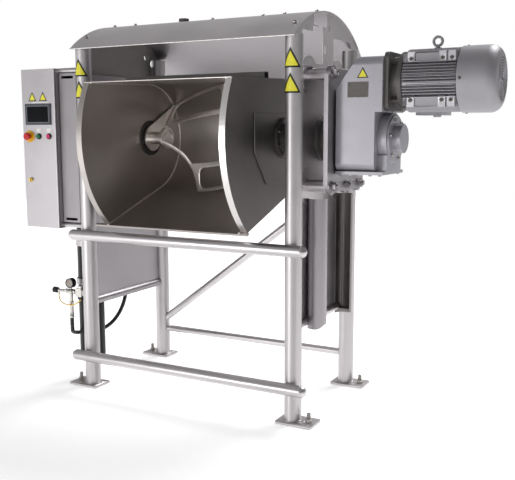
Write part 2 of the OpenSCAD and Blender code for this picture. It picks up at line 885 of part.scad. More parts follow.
module drive_cover() {
    color("lightgray") difference() {
        block([drive_x0, drive_y0 - 3, drive_z0], [drive_x1, drive_y0, drive_z1]);
        for (z = [drive_z0 + 16, drive_z1 - 20])
            translate([(drive_x0 + drive_x1) / 2 - 36, drive_y0 - 4, z - 6]) cube([72, 5, 12]);
    }
}

// ---- agitator

blade_x0 = arm_t - blade_half;
outer_edge = [[blade_x0, blade_s], [blade_end, blade_s], [75, 208], [95, 154], [127, 108],
    [167, 70], [208, 42], [arm_end - 7, 21], [arm_end, 18]];
inner_edge = [[blade_x0, in_bar_s], [96, in_bar_s - 2], [122, 83], [142, 62], [175, 38], [208, 16],
    [arm_end - 7, -6], [arm_end, -10]];
win_x0 = blade_x0 + post_w;
win_x1 = blade_end - post_w;
win_lo = in_bar_s + bar_w;
win_hi = blade_s - out_bar;
corner_steps = [0, 2, 5, 9, 14, 21, window_r];
window_xs = concat([for (d = corner_steps) win_x0 + d],
    [for (i = [1:15]) win_x0 + window_r + i * (win_x1 - win_x0 - 2 * window_r) / 16],
    [for (i = [len(corner_steps) - 1:-1:0]) win_x1 - corner_steps[i]]);
blade_xs = concat([blade_x0, blade_x0 + 12], window_xs,
    [53, 60, 66, 70, 75, 82, 89, 96, 108, 122, 132, 142, 158, 175, 192, 208, 228, 247, arm_end]);
win_first = 2;
win_last = win_first + len(window_xs) - 1;

function corner_rise(x) =
    let (d = max(0, min(x - win_x0, win_x1 - x)))
    d >= window_r ? 0 : window_r - sqrt(window_r * window_r - pow(window_r - d, 2));

// inner edge, window bottom, window top and outer edge of the blade at station i
function blade_edges(i) =
    let (x = blade_xs[i], a = lookup(x, inner_edge), d = lookup(x, outer_edge))
    i <= win_last ? [a, win_lo + corner_rise(x), win_hi - corner_rise(x), d]
        : [a, a + (d - a) / 3, a + 2 * (d - a) / 3, d];

function blade_dir(x) = tip_mid + blade_twist / 1000 * x + asin(blade_off / blade_r);
function blade_point(x, s, e) =
    let (a = blade_dir(x)) [x, s * cos(a) + e * sin(a), s * sin(a) - e * cos(a)];

function quad(a, b, c, d) = [[a, b, c], [a, c, d]];
function turned(faces) = [for (f = faces) [f[2], f[1], f[0]]];

module one_blade() {
    // one closed skin: each station is a ring of eight points, four on each face of the plate
    n = len(blade_xs);
    front = blade_off - blade_t / 2;
    back = blade_off + blade_t / 2;
    pts = [for (i = [0:n - 1]) let (x = blade_xs[i], s = blade_edges(i)) each concat(
        [for (k = [0:3]) blade_point(x, s[k], front)],
        [for (k = [3:-1:0]) blade_point(x, s[k], back)])];
    filled = [[0, 1], [1, 2], [2, 3], [3, 4], [4, 5], [5, 6], [6, 7], [7, 0]];
    opened = [[0, 1], [1, 6], [6, 7], [7, 0], [2, 3], [3, 4], [4, 5], [5, 2]];
    sides = [for (i = [0:n - 2]) each [
        for (k = (i >= win_first && i < win_last) ? opened : filled)
            each quad(8 * i + k[0], 8 * i + k[1], 8 * i + 8 + k[1], 8 * i + 8 + k[0])]];
    z = 8 * (n - 1);
    w0 = 8 * win_first;
    w1 = 8 * win_last;
    ends = concat(quad(z, z + 1, z + 6, z + 7), quad(z + 1, z + 2, z + 5, z + 6),
        quad(z + 2, z + 3, z + 4, z + 5), quad(w0 + 1, w0 + 2, w0 + 5, w0 + 6));
    starts = concat(quad(0, 1, 6, 7), quad(1, 2, 5, 6), quad(2, 3, 4, 5),
        quad(w1 + 1, w1 + 2, w1 + 5, w1 + 6));
    polyhedron(pts, concat(sides, ends, turned(starts)));
}

module agitator_blades() {
    color("lightgray") at_axis() translate([bowl_c, 0, 0]) {
        one_blade();
        rotate([180, 0, 0]) mirror([1, 0, 0]) one_blade();
    }
}

module hub(s) {
    // shaft stub, flat arm close to the end wall, and the boss that carries the other blade
    m = s > 0 ? 1 : 0;
    turn = s > 0 ? 180 : 0;
    a = blade_dir(blade_x0);
    color("silver") at_axis() translate([bowl_c, 0, 0]) rotate([turn, 0, 0]) mirror([m, 0, 0]) {
        along_x(-blade_half, blade_x0) {
            circle(arm_ring);
            rotate(a) hull() {
                translate([blade_s - 7, -blade_off]) circle(6);
                translate([blade_s - 9, -blade_off - 3]) circle(6);
                translate([in_bar_s - 10, -blade_off]) circle(6);
                circle(arm_ring - 0.5);
            }
        }
        difference() {
            rod_x(boss_r, -disc_x - boss_t, -disc_x);
            rod_x(boss_r - 12, -disc_x - 5, -disc_x + 1);
        }
        rod_x(27, -disc_x - 6, -disc_x - 2);
    }
}

module agitator_hub_left() {
    hub(-1);
    color("silver") at_axis() rod_x(shaft_r, -lx - 60, bowl_c - disc_x - 6);
}

module agitator_hub_right() {
    hub(1);
    color("silver") at_axis() {
        rod_x(shaft_r, bowl_c + disc_x + 6, boss_x1 + 8);
        rod_x(50, lx + 70, lx + 88);
    }
}

module shaft_seals() {
    color("black") at_axis() for (x = [in_x0, in_x1 - 5]) difference() {
        rod_x(88, x, x + 5);
        rod_x(shaft_r + 0.1, x - 1, x + 6);
    }
}

// ---- control cabinet

module cabinet_box() {
    color("silver") difference() {
        block([cab_x0, cab_y0, cab_z0], [cab_x1, cab_y1, cab_z1]);
        block([cab_x0 + cab_sheet, cab_y0 - 1, cab_z0 + cab_sheet],
            [cab_x1 - cab_sheet, cab_y1 - cab_sheet, cab_z1 - cab_sheet]);
    }
    color("silver") difference() {
        for (z = [814, 1576]) rod_x(12.5, cab_x1 - 1, -lx, -ly - 2, z);
        all_legs(leg_r + 0.8);
    }
}

module cabinet_door() {
    color("lightgray") difference() {
        union() {
            block([cab_x0 + 6, door_y, cab_z0], [hinge_x, door_y + door_t, cab_z1]);
            rod_z(door_t / 2, cab_z0, cab_z1, hinge_x, door_y + door_t / 2);
        }
        block([cab_x0 + 8, door_y + 2, cab_z0 + 2], [hinge_x - 2, door_y + door_t + 1, cab_z1 - 2]);
        rod_y(11.1, door_y - 1, door_y + 3, estop_x, button_z);
        for (x = [start_x, stop_x]) rod_y(12.6, door_y - 1, door_y + 3, x, button_z);
        rod_y(8.05, door_y - 1, door_y + 3, lock_x, lock_z);
    }
}

module hmi_panel() {
    color("dimgray") difference() {
        block([hmi_x - 83, door_y - 6, hmi_z - 52], [hmi_x + 83, door_y, hmi_z + 52]);
        block([hmi_x - 71, door_y - 7, hmi_z - 40], [hmi_x + 71, door_y - 4.5, hmi_z + 40]);
    }
}

module door_labels() {
    // disc behind the emergency stop and the plain label plates
    color("gold") difference() {
        rod_y(30, door_y - 2, door_y, estop_x, button_z);
        rod_y(11.1, door_y - 3, door_y + 1, estop_x, button_z);
    }
    color("whitesmoke") {
        for (x = [start_x, stop_x])
            block([x - 13, door_y - 0.8, button_z + 19], [x + 13, door_y, button_z + 39]);
        block([hmi_x - 40, door_y - 0.8, hmi_z + 54], [hmi_x + 70, door_y, hmi_z + 60]);
    }
    color("gold") for (x = [-863, -793]) translate([x, door_y, 1452]) rotate([90, 0, 0])
        linear_extrude(0.6) polygon([[-26, -22], [26, -22], [0, 23]]);
}

module estop_head() {
    color("red") {
        rod_y(11, door_y - 20, door_y + 7, estop_x, button_z);
        translate([estop_x, door_y - 18, button_z]) rotate([90, 0, 0]) {
            cylinder(r1 = estop_r - 4, r2 = estop_r, h = 6, $fn = 48);
            translate([0, 0, 6]) cylinder(r1 = estop_r, r2 = estop_r - 5, h = 7, $fn = 48);
        }
    }
}

module button_rings() {
    color("silver") for (x = [start_x, stop_x]) difference() {
        union() {
            rod_y(15, door_y - 5, door_y, x, button_z);
            rod_y(12.5, door_y, door_y + 7, x, button_z);
        }
        rod_y(button_r - 1.45, door_y - 6, door_y + 8, x, button_z);
        rod_y(button_r + 0.05, door_y - 6, door_y - 1, x, button_z);
    }
}

module cap_button(x) {
    rod_y(button_r, door_y - 10, door_y - 4.2, x, button_z);
    rod_y(button_r - 1.5, door_y - 4.2, door_y + 5, x, button_z);
}

module start_button() color("green") cap_button(start_x);
module stop_button() color("red") cap_button(stop_x);

module door_lock() {
    color("gold") {
        rod_y(11, door_y - 9, door_y, lock_x, lock_z);
        rod_y(8, door_y, door_y + 6, lock_x, lock_z);
        block([lock_x - 2, door_y - 13, lock_z - 9], [lock_x + 2, door_y - 9, lock_z + 9]);
        block([lock_x - 30, door_y + 3.5, lock_z - 7], [lock_x + 5, door_y + 6, lock_z + 7]);
    }
}

// ---- air supply

module air_regulator() {
    color("gainsboro") translate([-lx - 66, air_y, 0]) difference() {
        union() {
            block([-19, -19, air_z - 20], [19, 19, air_z + 22]);
            rod_z(14, air_z + 22, air_z + 34);
            rod_z(16, air_z - 32.7, air_z - 20);
        }
        rod_x(8.1, -20, 0, 0, air_z);
    }
    color("gainsboro") difference() {
        block([-lx - 47, air_y - 12, air_z - 14], [-lx, air_y + 12, air_z + 14]);
        all_legs(leg_r + fit);
    }
}

module air_manifold() {
    color("silver") {
        rod_x(8, air_x - 88, -lx - 78, air_y, air_z);
        rod_x(14, air_x - 14, air_x + 14, air_y, air_z);
        translate([air_x - 34, air_y, air_z]) rotate([0, 90, 0]) cylinder(r = 13, h = 14, $fn = 6);
        translate([air_x + 20, air_y, air_z]) rotate([0, 90, 0]) cylinder(r = 13, h = 10, $fn = 6);
        rod_z(9, air_z - 50, air_z, air_x, air_y);
        translate([air_x, air_y, air_z - 62]) cylinder(r = 13, h = 12, $fn = 6);
        rod_z(10, 364, air_z - 62, air_x, air_y);
        rod_z(6, air_z, air_z + 18.8, air_x, air_y);
        rod_z(5, air_z - 21, air_z, -776, air_y);
    }
}

module gauge_case() {
    color("black") translate([air_x, 0, air_z + 44]) difference() {
        rod_y(25, air_y - 14, air_y + 14);
        rod_y(22, air_y - 15, air_y - 11);
        rod_y(1.55, air_y - 12, air_y - 8);
    }
}

module gauge_needle() {
    color("red") translate([air_x, 0, air_z + 44]) {
        rod_y(1.5, air_y - 12.4, air_y - 8.2);
        rotate([0, -35, 0]) block([-0.8, air_y - 12.6, -5], [0.8, air_y - 11.8, 17]);
    }
}

module air_knob() {
    color("black") translate([air_x - 88, air_y, air_z]) {
        rod_x(14, -26, 0);
        for (a = [0:45:315]) rotate([a, 0, 0]) block([-26, -1.5, 12], [-4, 1.5, 15.5]);
    }
}

module swept(path, r, n) {
    m = len(path);
    dirs = [for (i = [0:m - 1]) let (d = path[min(i + 1, m - 1)] - path[max(i - 1, 0)]) d / norm(d)];
    side0 = cross(dirs[0], [1, 0, 0]);
    frames = [for (i = 0, u = side0 / norm(side0); i < m;
        i = i + 1, u = i < m ? let (w = u - (u * dirs[i]) * dirs[i]) w / norm(w) : u) u];
    pts = [for (i = [0:m - 1], k = [0:n - 1]) let (v = cross(dirs[i], frames[i]))
        path[i] + r * (cos(360 * k / n) * frames[i] + sin(360 * k / n) * v)];
    sides = [for (i = [0:m - 2], k = [0:n - 1]) let (a = i * n + k, b = i * n + (k + 1) % n)
        each [[a, b, b + n], [a, b + n, a + n]]];
    polyhedron(pts, concat([[for (k = [n - 1:-1:0]) k]], sides, [[for (k = [0:n - 1]) (m - 1) * n + k]]));
}

module air_hose() color("black") swept(hose_path, hose_r, hose_n);
module air_line() color("gold") swept(line_path, line_r, 8);

// ---- output

leg_front_left();
leg_front_right();
leg_rear_left();
leg_rear_right();
anchor_bolts();
rail_upper();
rail_lower();
rear_bracing();
side_plate_left();
side_plate_right();
hood_sheet();
hood_end_left();
hood_end_right();
vent_cap();
warning_signs();
spacer_tubes();
carrier_plate();
pipe_guards();
gearbox_housing();
output_cover();
nameplate();
motor_adapter();
motor_frame();
fan_cowl();
motor_rotor();
bearings();
bowl_shell();
bowl_wall_left();
bowl_wall_right();
bowl_stiffener();
trunnion_left();
trunnion_right();
trunnion_bolts();
shaft_seals();
tilt_sector();
tilt_rod();
tilt_barrel();
barrel_clamps();
drive_housing();
drive_cover();
agitator_blades();
agitator_hub_left();
agitator_hub_right();
cabinet_box();
cabinet_door();
hmi_panel();
door_labels();
button_rings();
estop_head();
start_button();
stop_button();
door_lock();
air_regulator();
air_manifold();
gauge_case();
gauge_needle();
air_knob();
air_hose();
air_line();
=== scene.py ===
import json
import math

import bpy
import bmesh
from mathutils import Matrix, Vector


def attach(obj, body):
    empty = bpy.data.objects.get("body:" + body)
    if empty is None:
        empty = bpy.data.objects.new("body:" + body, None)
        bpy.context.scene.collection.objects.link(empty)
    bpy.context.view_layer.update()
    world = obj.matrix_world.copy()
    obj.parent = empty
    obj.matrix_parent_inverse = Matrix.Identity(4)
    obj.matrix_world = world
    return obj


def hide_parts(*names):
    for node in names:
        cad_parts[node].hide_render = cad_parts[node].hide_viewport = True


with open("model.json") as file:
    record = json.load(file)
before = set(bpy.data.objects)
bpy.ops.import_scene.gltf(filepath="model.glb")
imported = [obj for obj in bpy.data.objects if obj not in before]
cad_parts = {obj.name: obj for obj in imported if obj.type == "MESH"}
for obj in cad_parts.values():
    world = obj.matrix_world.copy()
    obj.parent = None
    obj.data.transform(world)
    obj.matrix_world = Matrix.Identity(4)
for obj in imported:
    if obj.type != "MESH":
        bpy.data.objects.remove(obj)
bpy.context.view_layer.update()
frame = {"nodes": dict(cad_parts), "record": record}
nodeObjects = frame["nodes"]
bodyOf = {n: b for b, names in frame["record"]["behaviour"]["bodies"].items() for n in names}
slotOf = {s["node"]: s["material_slot"] for s in frame["record"]["subparts"]}
scene = bpy.context.scene
collection = scene.collection
print("frame loaded:", len(nodeObjects), "nodes")

# ---- shared places in mm: the axes of shaft and motor, and the legs at plus and minus legX, legY
shaftY, shaftZ = -10, 1246
motorZ = 1491
legX, legY = 565, 311

# ---- camera, solved from the legs, rails and feet of the photograph
cameraValues = {
    "place": (2.0312, -3.3673, 1.2876),
    "turnDeg": 28.254,
    "downDeg": 7.928,
    "rollDeg": -0.126,
    "lensMm": 55.46,
}


def makeCamera(values):
    data = bpy.data.cameras.new("camera")
    data.lens = values["lensMm"]
    data.sensor_width = 36
    data.clip_start = 0.05
    data.clip_end = 100
    cam = bpy.data.objects.new("camera", data)
    collection.objects.link(cam)
    turn = Matrix.Rotation(math.radians(values["turnDeg"]), 4, "Z")
    tip = Matrix.Rotation(math.radians(90 - values["downDeg"]), 4, "X")
    roll = Matrix.Rotation(math.radians(values["rollDeg"]), 4, "Z")
    cam.matrix_world = Matrix.Translation(values["place"]) @ turn @ tip @ roll
    scene.camera = cam


makeCamera(cameraValues)


# ---- helpers for node trees and meshes
def addNode(tree, kind, values=None, links=None, **settings):
    node = tree.nodes.new(kind)
    for key, value in settings.items():
        setattr(node, key, value)
    for key, value in (values or {}).items():
        node.inputs[key].default_value = value
    for key, source in (links or {}).items():
        # a node given as a source stands for its first output
        isNode = isinstance(source, bpy.types.Node)
        tree.links.new(source.outputs[0] if isNode else source, node.inputs[key])
    return node


def hexColor(text):
    # sRGB hex to the linear values that Blender's sockets take
    parts = [int(text[i : i + 2], 16) / 255 for i in (1, 3, 5)]
    linear = [p / 12.92 if p <= 0.04045 else ((p + 0.055) / 1.055) ** 2.4 for p in parts]
    return (*linear, 1)


def newMaterial(name):
    material = bpy.data.materials.new(name)
    material.use_nodes = True
    material.node_tree.nodes.clear()
    return material


def finishMaterial(material, shader):
    addNode(material.node_tree, "ShaderNodeOutputMaterial",
        links={"Surface": shader.outputs["BSDF"]})
    return material


# ---- finishes
# most values of a noise lie in this span
noiseSpan = {"From Min": 0.3, "From Max": 0.7}
shading = {
    # depth of every bump in metres
    "bumpDepth": 0.0003,
    # tone left in the finest scratches of metal
    "scratchTone": 0.965,
    # gloss and dullness that the clouds give, as shares of the roughness
    "metalRough": (0.9, 1.12),
    "coatRough": (0.88, 1.15),
    # clouds in a metre of coat and of ink
    "coatClouds": 11.0,
    "inkClouds": 60.0,
}
# what a finish has where its own line says nothing else
plainMetal = {"tone": 0.08, "bump": 0.05}
plainCoat = {"dust": 0.06, "metal": 0.0, "ior": 1.5}
metalFinishes = {
    # stainless pipe, belt-ground to a satin: fine lines along it and a soft bright band
    "satinPipe": {"hex": "#cac6c8", "rough": 0.42, "grainMm": (3, 3, 90), "cloudMm": 160},
    # the same tube on rails and spacers, a little brighter, ground along its length
    "satinRail": {"hex": "#d2ced0", "rough": 0.36, "grainMm": (90, 3, 3), "cloudMm": 160},
    # cold-rolled stainless sheet, glass-bead blasted: even grey, faint clouds, no mirror image
    "blastedSheet": {"hex": "#d6d1d4", "rough": 0.42, "grainMm": (5, 5, 5),
        "cloudMm": 240, "tone": 0.10, "bump": 0.06},
    # the same sheet on cabinet and drive housing, darker as painted shade
    "shadedCabinetSheet": {"hex": "#c6c2c5", "rough": 0.40, "grainMm": (4, 4, 60), "cloudMm": 260},
    "shadedHousingSheet": {"hex": "#a19da0", "rough": 0.42, "grainMm": (4, 4, 60), "cloudMm": 200},
    # underside of the hood: the same sheet painted a little greyer than outside, as painted shade
    "hoodInside": {"hex": "#aaa6a9", "rough": 0.42, "grainMm": (90, 6, 6),
        "cloudMm": 220, "tone": 0.10},
    # rim of the bowl's right wall: a brighter colour as painted highlight along its edge
    "groundRim": {"hex": "#f0ecea", "rough": 0.34, "grainMm": (8, 8, 8), "cloudMm": 120},
    # the same sheet darker and duller: painted shade on faces that stand in shadow
    "rolledSheet": {"hex": "#878381", "rough": 0.44, "grainMm": (5, 5, 5),
        "cloudMm": 120, "tone": 0.16, "bump": 0.06},
    # the same sheet, brushed along the shaft inside the bowl: soft dark streaks of the surroundings
    "brushedSheet": {"hex": "#c0bab6", "rough": 0.40, "grainMm": (120, 4, 4),
        "cloudMm": 200, "tone": 0.10, "bump": 0.03},
    # cast stainless, ground by hand, with wavy highlights: a little brighter, partly as painted
    # highlight on the blades
    "castingAndHighlight": {"hex": "#efeae6", "rough": 0.30, "grainMm": (14, 14, 14),
        "cloudMm": 60, "tone": 0.10, "bump": 0.10},
    # turned steel: fine rings are too small to see, so only a tight gloss is left
    "turnedSteel": {"hex": "#b8b5b1", "rough": 0.26, "grainMm": (3, 9, 9),
        "cloudMm": 40, "tone": 0.10, "bump": 0.04},
    # nickel-plated fittings: silvery and shiny
    "nickelPlate": {"hex": "#d3d0cc", "rough": 0.20, "grainMm": (6, 6, 6),
        "cloudMm": 18, "tone": 0.16, "bump": 0.03},
    # hard chrome, ground: almost a mirror
    "hardChrome": {"hex": "#d8d8d8", "rough": 0.12, "grainMm": (2, 2, 60),
        "cloudMm": 60, "tone": 0.04, "bump": 0.01},
    # lacquered brass of the lock cylinder: golden, worn a little dull
    "lockBrass": {"hex": "#f0d27a", "rough": 0.28, "grainMm": (2, 2, 2),
        "cloudMm": 8, "tone": 0.16, "bump": 0.03},
    # etched aluminium plate, left blank: grey and slightly streaky
    "etchedPlate": {"hex": "#5f5c5a", "rough": 0.40, "grainMm": (40, 2, 2),
        "cloudMm": 30, "tone": 0.14, "bump": 0.03},
    # milled faces of the motor's pads: pale, close lines
    "machinedPad": {"hex": "#cfccd1", "rough": 0.34, "grainMm": (40, 2, 2),
        "cloudMm": 30, "tone": 0.06, "bump": 0.03},
    # brushed weld seam: brighter than the sheet and a little rippled
    "weldSeam": {"hex": "#efebe8", "rough": 0.34, "grainMm": (3, 3, 3),
        "cloudMm": 14, "tone": 0.22, "bump": 0.12},
}
coatFinishes = {
    # machine enamel sprayed on cast aluminium: silver grey, satin, faint orange peel
    "greyEnamel": {"hex": "#a6a4aa", "rough": 0.38, "peelMm": 3.5, "bump": 0.10,
        "dust": 0.08, "metal": 0.55},
    # the same enamel on the motor's ribs, greyer, with dust between the ribs
    "motorEnamel": {"hex": "#a09da2", "rough": 0.48, "peelMm": 4.0, "bump": 0.12,
        "dust": 0.12, "metal": 0.5},
    # the same enamel in a darker grey, dull with oil and dust, and painted shadow on the gearbox's
    # side
    "darkEnamel": {"hex": "#5c5857", "rough": 0.42, "peelMm": 4.0, "bump": 0.14,
        "dust": 0.14, "metal": 0.4},
    # stove enamel on the lifting cylinder: deep black, glossy
    "blackEnamel": {"hex": "#171515", "rough": 0.36, "peelMm": 3.0, "bump": 0.06,
        "dust": 0.10, "ior": 1.3},
    # moulded nylon and ABS parts: near black, fine spark-eroded grain
    "mouldedBlack": {"hex": "#1f1e1e", "rough": 0.46, "peelMm": 1.2, "bump": 0.14, "dust": 0.12},
    # vent cap: grey moulded nylon, matt
    "greyNylon": {"hex": "#6f6b6a", "rough": 0.46, "peelMm": 1.4, "bump": 0.12, "dust": 0.10},
    # shaft seal: dark brown fluoro rubber, dull; its dark ring is partly painted shadow of the gap
    # round each hub
    "sealAndGapShade": {"hex": "#35312f", "rough": 0.50, "peelMm": 1.6, "bump": 0.10, "dust": 0.12},
    # moulded ABS round the touch panel: slate grey, matt
    "bezelPlastic": {"hex": "#3d4047", "rough": 0.44, "peelMm": 1.0, "bump": 0.08},
    # its inner frame of the same ABS: lighter and satin
    "framePlastic": {"hex": "#6d7178", "rough": 0.38, "peelMm": 1.0, "bump": 0.05, "dust": 0.05},
    # hardened touch glass over a dark display: a clear reflection
    "screenGlass": {"hex": "#090a0f", "rough": 0.10, "peelMm": 40, "bump": 0.01, "ior": 1.22},
    # printed polyester label stock: off-white, matt
    "paleLabel": {"hex": "#e6e4e2", "rough": 0.50, "peelMm": 4, "bump": 0.03, "dust": 0.04},
    # acrylic-coated signal parts: saturated and glossy
    "redPlastic": {"hex": "#c4202b", "rough": 0.24, "peelMm": 8, "bump": 0.02},
    "rosePlastic": {"hex": "#c23362", "rough": 0.24, "peelMm": 8, "bump": 0.02},
    "greenPlastic": {"hex": "#17693c", "rough": 0.24, "peelMm": 8, "bump": 0.02},
    # moulded polycarbonate under the emergency stop: warm yellow, satin
    "stopYellow": {"hex": "#e0a80c", "rough": 0.34, "peelMm": 5, "bump": 0.03},
    # drawn polyurethane air tube: honey yellow, glossy
    "yellowTube": {"hex": "#e6c044", "rough": 0.28, "peelMm": 10, "bump": 0.02},
    # smooth EPDM cover of the hose: matt black with a grey bloom
    "hoseRubber": {"hex": "#1c1c1d", "rough": 0.52, "peelMm": 1.6, "bump": 0.16, "dust": 0.14},
    # printed tin dial of the gauge: warm grey, satin
    "dialGrey": {"hex": "#aaa69e", "rough": 0.40, "peelMm": 3, "bump": 0.02, "dust": 0.04},
}
# printed self-adhesive vinyl: flat bright yellow inside a black border
signFinish = {"hex": "#ece33a", "borderHex": "#1d1c16", "rough": 0.42,
    "worn": 0.9, "softEdge": 0.08}


def cloudedFinish(material, v, coords, pattern, fine, look):
    # clouds of tone and gloss over the colour, and the fine pattern as bump
    tree = material.node_tree
    clouds = addNode(tree, "ShaderNodeTexNoise", {"Scale": look["scale"], "Detail": 3.0},
        {"Vector": coords.outputs["Object"]})
    shade = addNode(tree, "ShaderNodeMapRange", {**noiseSpan, "To Min": 1 - look["tone"]},
        {"Value": clouds.outputs["Fac"]})
    if fine:
        shade = addNode(tree, "ShaderNodeMath", {}, {0: shade, 1: fine}, operation="MULTIPLY")
    color = addNode(tree, "ShaderNodeMix", {"A": (0, 0, 0, 1), "B": hexColor(v["hex"])},
        {"Factor": shade}, data_type="RGBA")
    glossy, dull = look["roughSpan"]
    rough = addNode(tree, "ShaderNodeMapRange", {
        **noiseSpan, "To Min": v["rough"] * glossy, "To Max": v["rough"] * dull},
        {"Value": clouds.outputs["Fac"]})
    bump = addNode(tree, "ShaderNodeBump", {
        "Strength": v["bump"], "Distance": shading["bumpDepth"]},
        {"Height": pattern.outputs["Fac"]})
    shader = addNode(tree, "ShaderNodeBsdfPrincipled", look["shader"], {
        "Base Color": color.outputs["Result"], "Roughness": rough, "Normal": bump})
    return finishMaterial(material, shader)


def makeMetal(name, v):
    material = newMaterial(name)
    tree = material.node_tree
    coords = addNode(tree, "ShaderNodeTexCoord")
    grain = addNode(tree, "ShaderNodeMapping", {"Scale": tuple(1000 / g for g in v["grainMm"])},
        {"Vector": coords.outputs["Object"]})
    lines = addNode(tree, "ShaderNodeTexNoise", {"Scale": 1.0, "Detail": 2.0, "Roughness": 0.55},
        {"Vector": grain})
    fine = addNode(tree, "ShaderNodeMapRange", {
        "From Min": 0.25, "From Max": 0.75, "To Min": shading["scratchTone"]},
        {"Value": lines.outputs["Fac"]})
    return cloudedFinish(material, v, coords, lines, fine, {
        "scale": 1000 / v["cloudMm"], "tone": v["tone"], "roughSpan": shading["metalRough"],
        "shader": {"Metallic": 1.0}})


def makeCoat(name, v):
    material = newMaterial(name)
    coords = addNode(material.node_tree, "ShaderNodeTexCoord")
    peel = addNode(material.node_tree, "ShaderNodeTexNoise", {"Scale": 1000 / v["peelMm"]},
        {"Vector": coords.outputs["Object"]})
    return cloudedFinish(material, v, coords, peel, None, {
        "scale": shading["coatClouds"], "tone": v["dust"], "roughSpan": shading["coatRough"],
        "shader": {"Metallic": v["metal"], "IOR": v["ior"]}})


def makeSign(name, v):
    # the border lies where a point's distance from the edge, in border widths, is below one
    material = newMaterial(name)
    tree = material.node_tree
    edge = addNode(tree, "ShaderNodeAttribute", attribute_name="edge")
    coords = addNode(tree, "ShaderNodeTexCoord")
    inkNoise = addNode(tree, "ShaderNodeTexNoise", {"Scale": shading["inkClouds"]},
        {"Vector": coords.outputs["Object"]})
    wear = addNode(tree, "ShaderNodeMapRange", {**noiseSpan, "To Min": v["worn"]},
        {"Value": inkNoise.outputs["Fac"]})
    inside = addNode(tree, "ShaderNodeMapRange", {
        "From Min": 1 - v["softEdge"], "From Max": 1 + v["softEdge"]},
        {"Value": edge.outputs["Fac"]})
    yellow = addNode(tree, "ShaderNodeMix", {"A": (0, 0, 0, 1), "B": hexColor(v["hex"])},
        {"Factor": wear}, data_type="RGBA")
    color = addNode(tree, "ShaderNodeMix", {"A": hexColor(v["borderHex"])},
        {"Factor": inside, "B": yellow.outputs["Result"]}, data_type="RGBA")
    shader = addNode(tree, "ShaderNodeBsdfPrincipled", {"Roughness": v["rough"]},
        {"Base Color": color.outputs["Result"]})
    return finishMaterial(material, shader)


finish = {name: makeMetal(name, {**plainMetal, **v}) for name, v in metalFinishes.items()}
finish.update({name: makeCoat(name, {**plainCoat, **v}) for name, v in coatFinishes.items()})
finish["signVinyl"] = makeSign("signVinyl", signFinish)
print("materials made:", len(finish))

# ---- the free hose and the thin air tube, on the routes of the CAD source in metres
hoseValues = {
    "diameter": 0.020,
    "route": [
        (-0.694, -0.311, 0.364), (-0.694, -0.311, 0.320), (-0.700, -0.303, 0.284),
        (-0.716, -0.286, 0.256), (-0.734, -0.258, 0.240), (-0.744, -0.220, 0.228),
        (-0.744, -0.176, 0.220), (-0.734, -0.138, 0.215), (-0.716, -0.106, 0.214),
        (-0.694, -0.078, 0.220), (-0.672, -0.050, 0.236), (-0.652, -0.024, 0.262),
        (-0.637, 0.004, 0.300), (-0.627, 0.028, 0.346), (-0.622, 0.046, 0.400),
        (-0.621, 0.056, 0.460), (-0.624, 0.060, 0.530), (-0.630, 0.061, 0.610),
        (-0.637, 0.060, 0.690), (-0.640, 0.060, 0.750), (-0.640, 0.060, 0.800),
    ],
}
lineValues = {
    "diameter": 0.006,
    "route": [
        (-0.776, -0.311, 0.449), (-0.776, -0.311, 0.440), (-0.7745, -0.3115, 0.431),
        (-0.770, -0.313, 0.422), (-0.762, -0.315, 0.4145), (-0.751, -0.318, 0.409),
        (-0.738, -0.321, 0.4055), (-0.720, -0.325, 0.403), (-0.700, -0.328, 0.402),
        (-0.682, -0.328, 0.4035), (-0.666, -0.326, 0.407), (-0.652, -0.322, 0.4125),
        (-0.641, -0.317, 0.420), (-0.634, -0.313, 0.428), (-0.6315, -0.311, 0.436),
    ],
}


def makeHose(name, values, node, material):
    data = bpy.data.curves.new(name, "CURVE")
    data.dimensions = "3D"
    data.bevel_depth = values["diameter"] / 2
    data.bevel_resolution = 5
    data.resolution_u = 6
    data.use_fill_caps = True
    route = values["route"]
    spline = data.splines.new("NURBS")
    spline.points.add(len(route) - 1)
    for point, place in zip(spline.points, route):
        point.co = (*place, 1)
    spline.order_u = 3
    spline.use_endpoint_u = True
    data.materials.append(finish[material])
    piece = bpy.data.objects.new(name, data)
    collection.objects.link(piece)
    length = sum((Vector(b) - Vector(a)).length for a, b in zip(route, route[1:]))
    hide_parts(node)
    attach(piece, bodyOf[node])
    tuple(route[0])
    return length


hoseLength = makeHose("air_hose_cord", hoseValues, "air_hose", "hoseRubber")
lineLength = makeHose("air_line_cord", lineValues, "air_line", "yellowTube")
print("cords made:", round(hoseLength, 3), round(lineLength, 3))

# ---- studio: pale floor, white ground, soft lights
studio = {
    "floorHex": "#f6f6f6",
    "floorGlow": 0.54,
    "floorX": (-9, 9),
    "floorY": (-7, 11),
    # height and grey of the room's light: below, at the horizon and overhead
    "sky": ((0.0, 1.0), (0.04, 0.50), (0.45, 0.40)),
    # brightness of the room towards -X and towards +X
    "sides": (1.15, 0.33),
    # place, target, width and height in metres, watts
    "keyLight": ((-1.9, -4.7, 0.8), (0, 0, 0.7), 1.2, 1.6, 42),
    # towards the light, spread in degrees, strength
    "backLight": ((0.26, 0.97, 1.15), 30, 2.3),
}


def placeLight(data, place, facing):
    light = bpy.data.objects.new(data.name, data)
    light.location = place
    light.rotation_mode = "QUATERNION"
    light.rotation_quaternion = facing.to_track_quat("-Z", "Y")
    collection.objects.link(light)


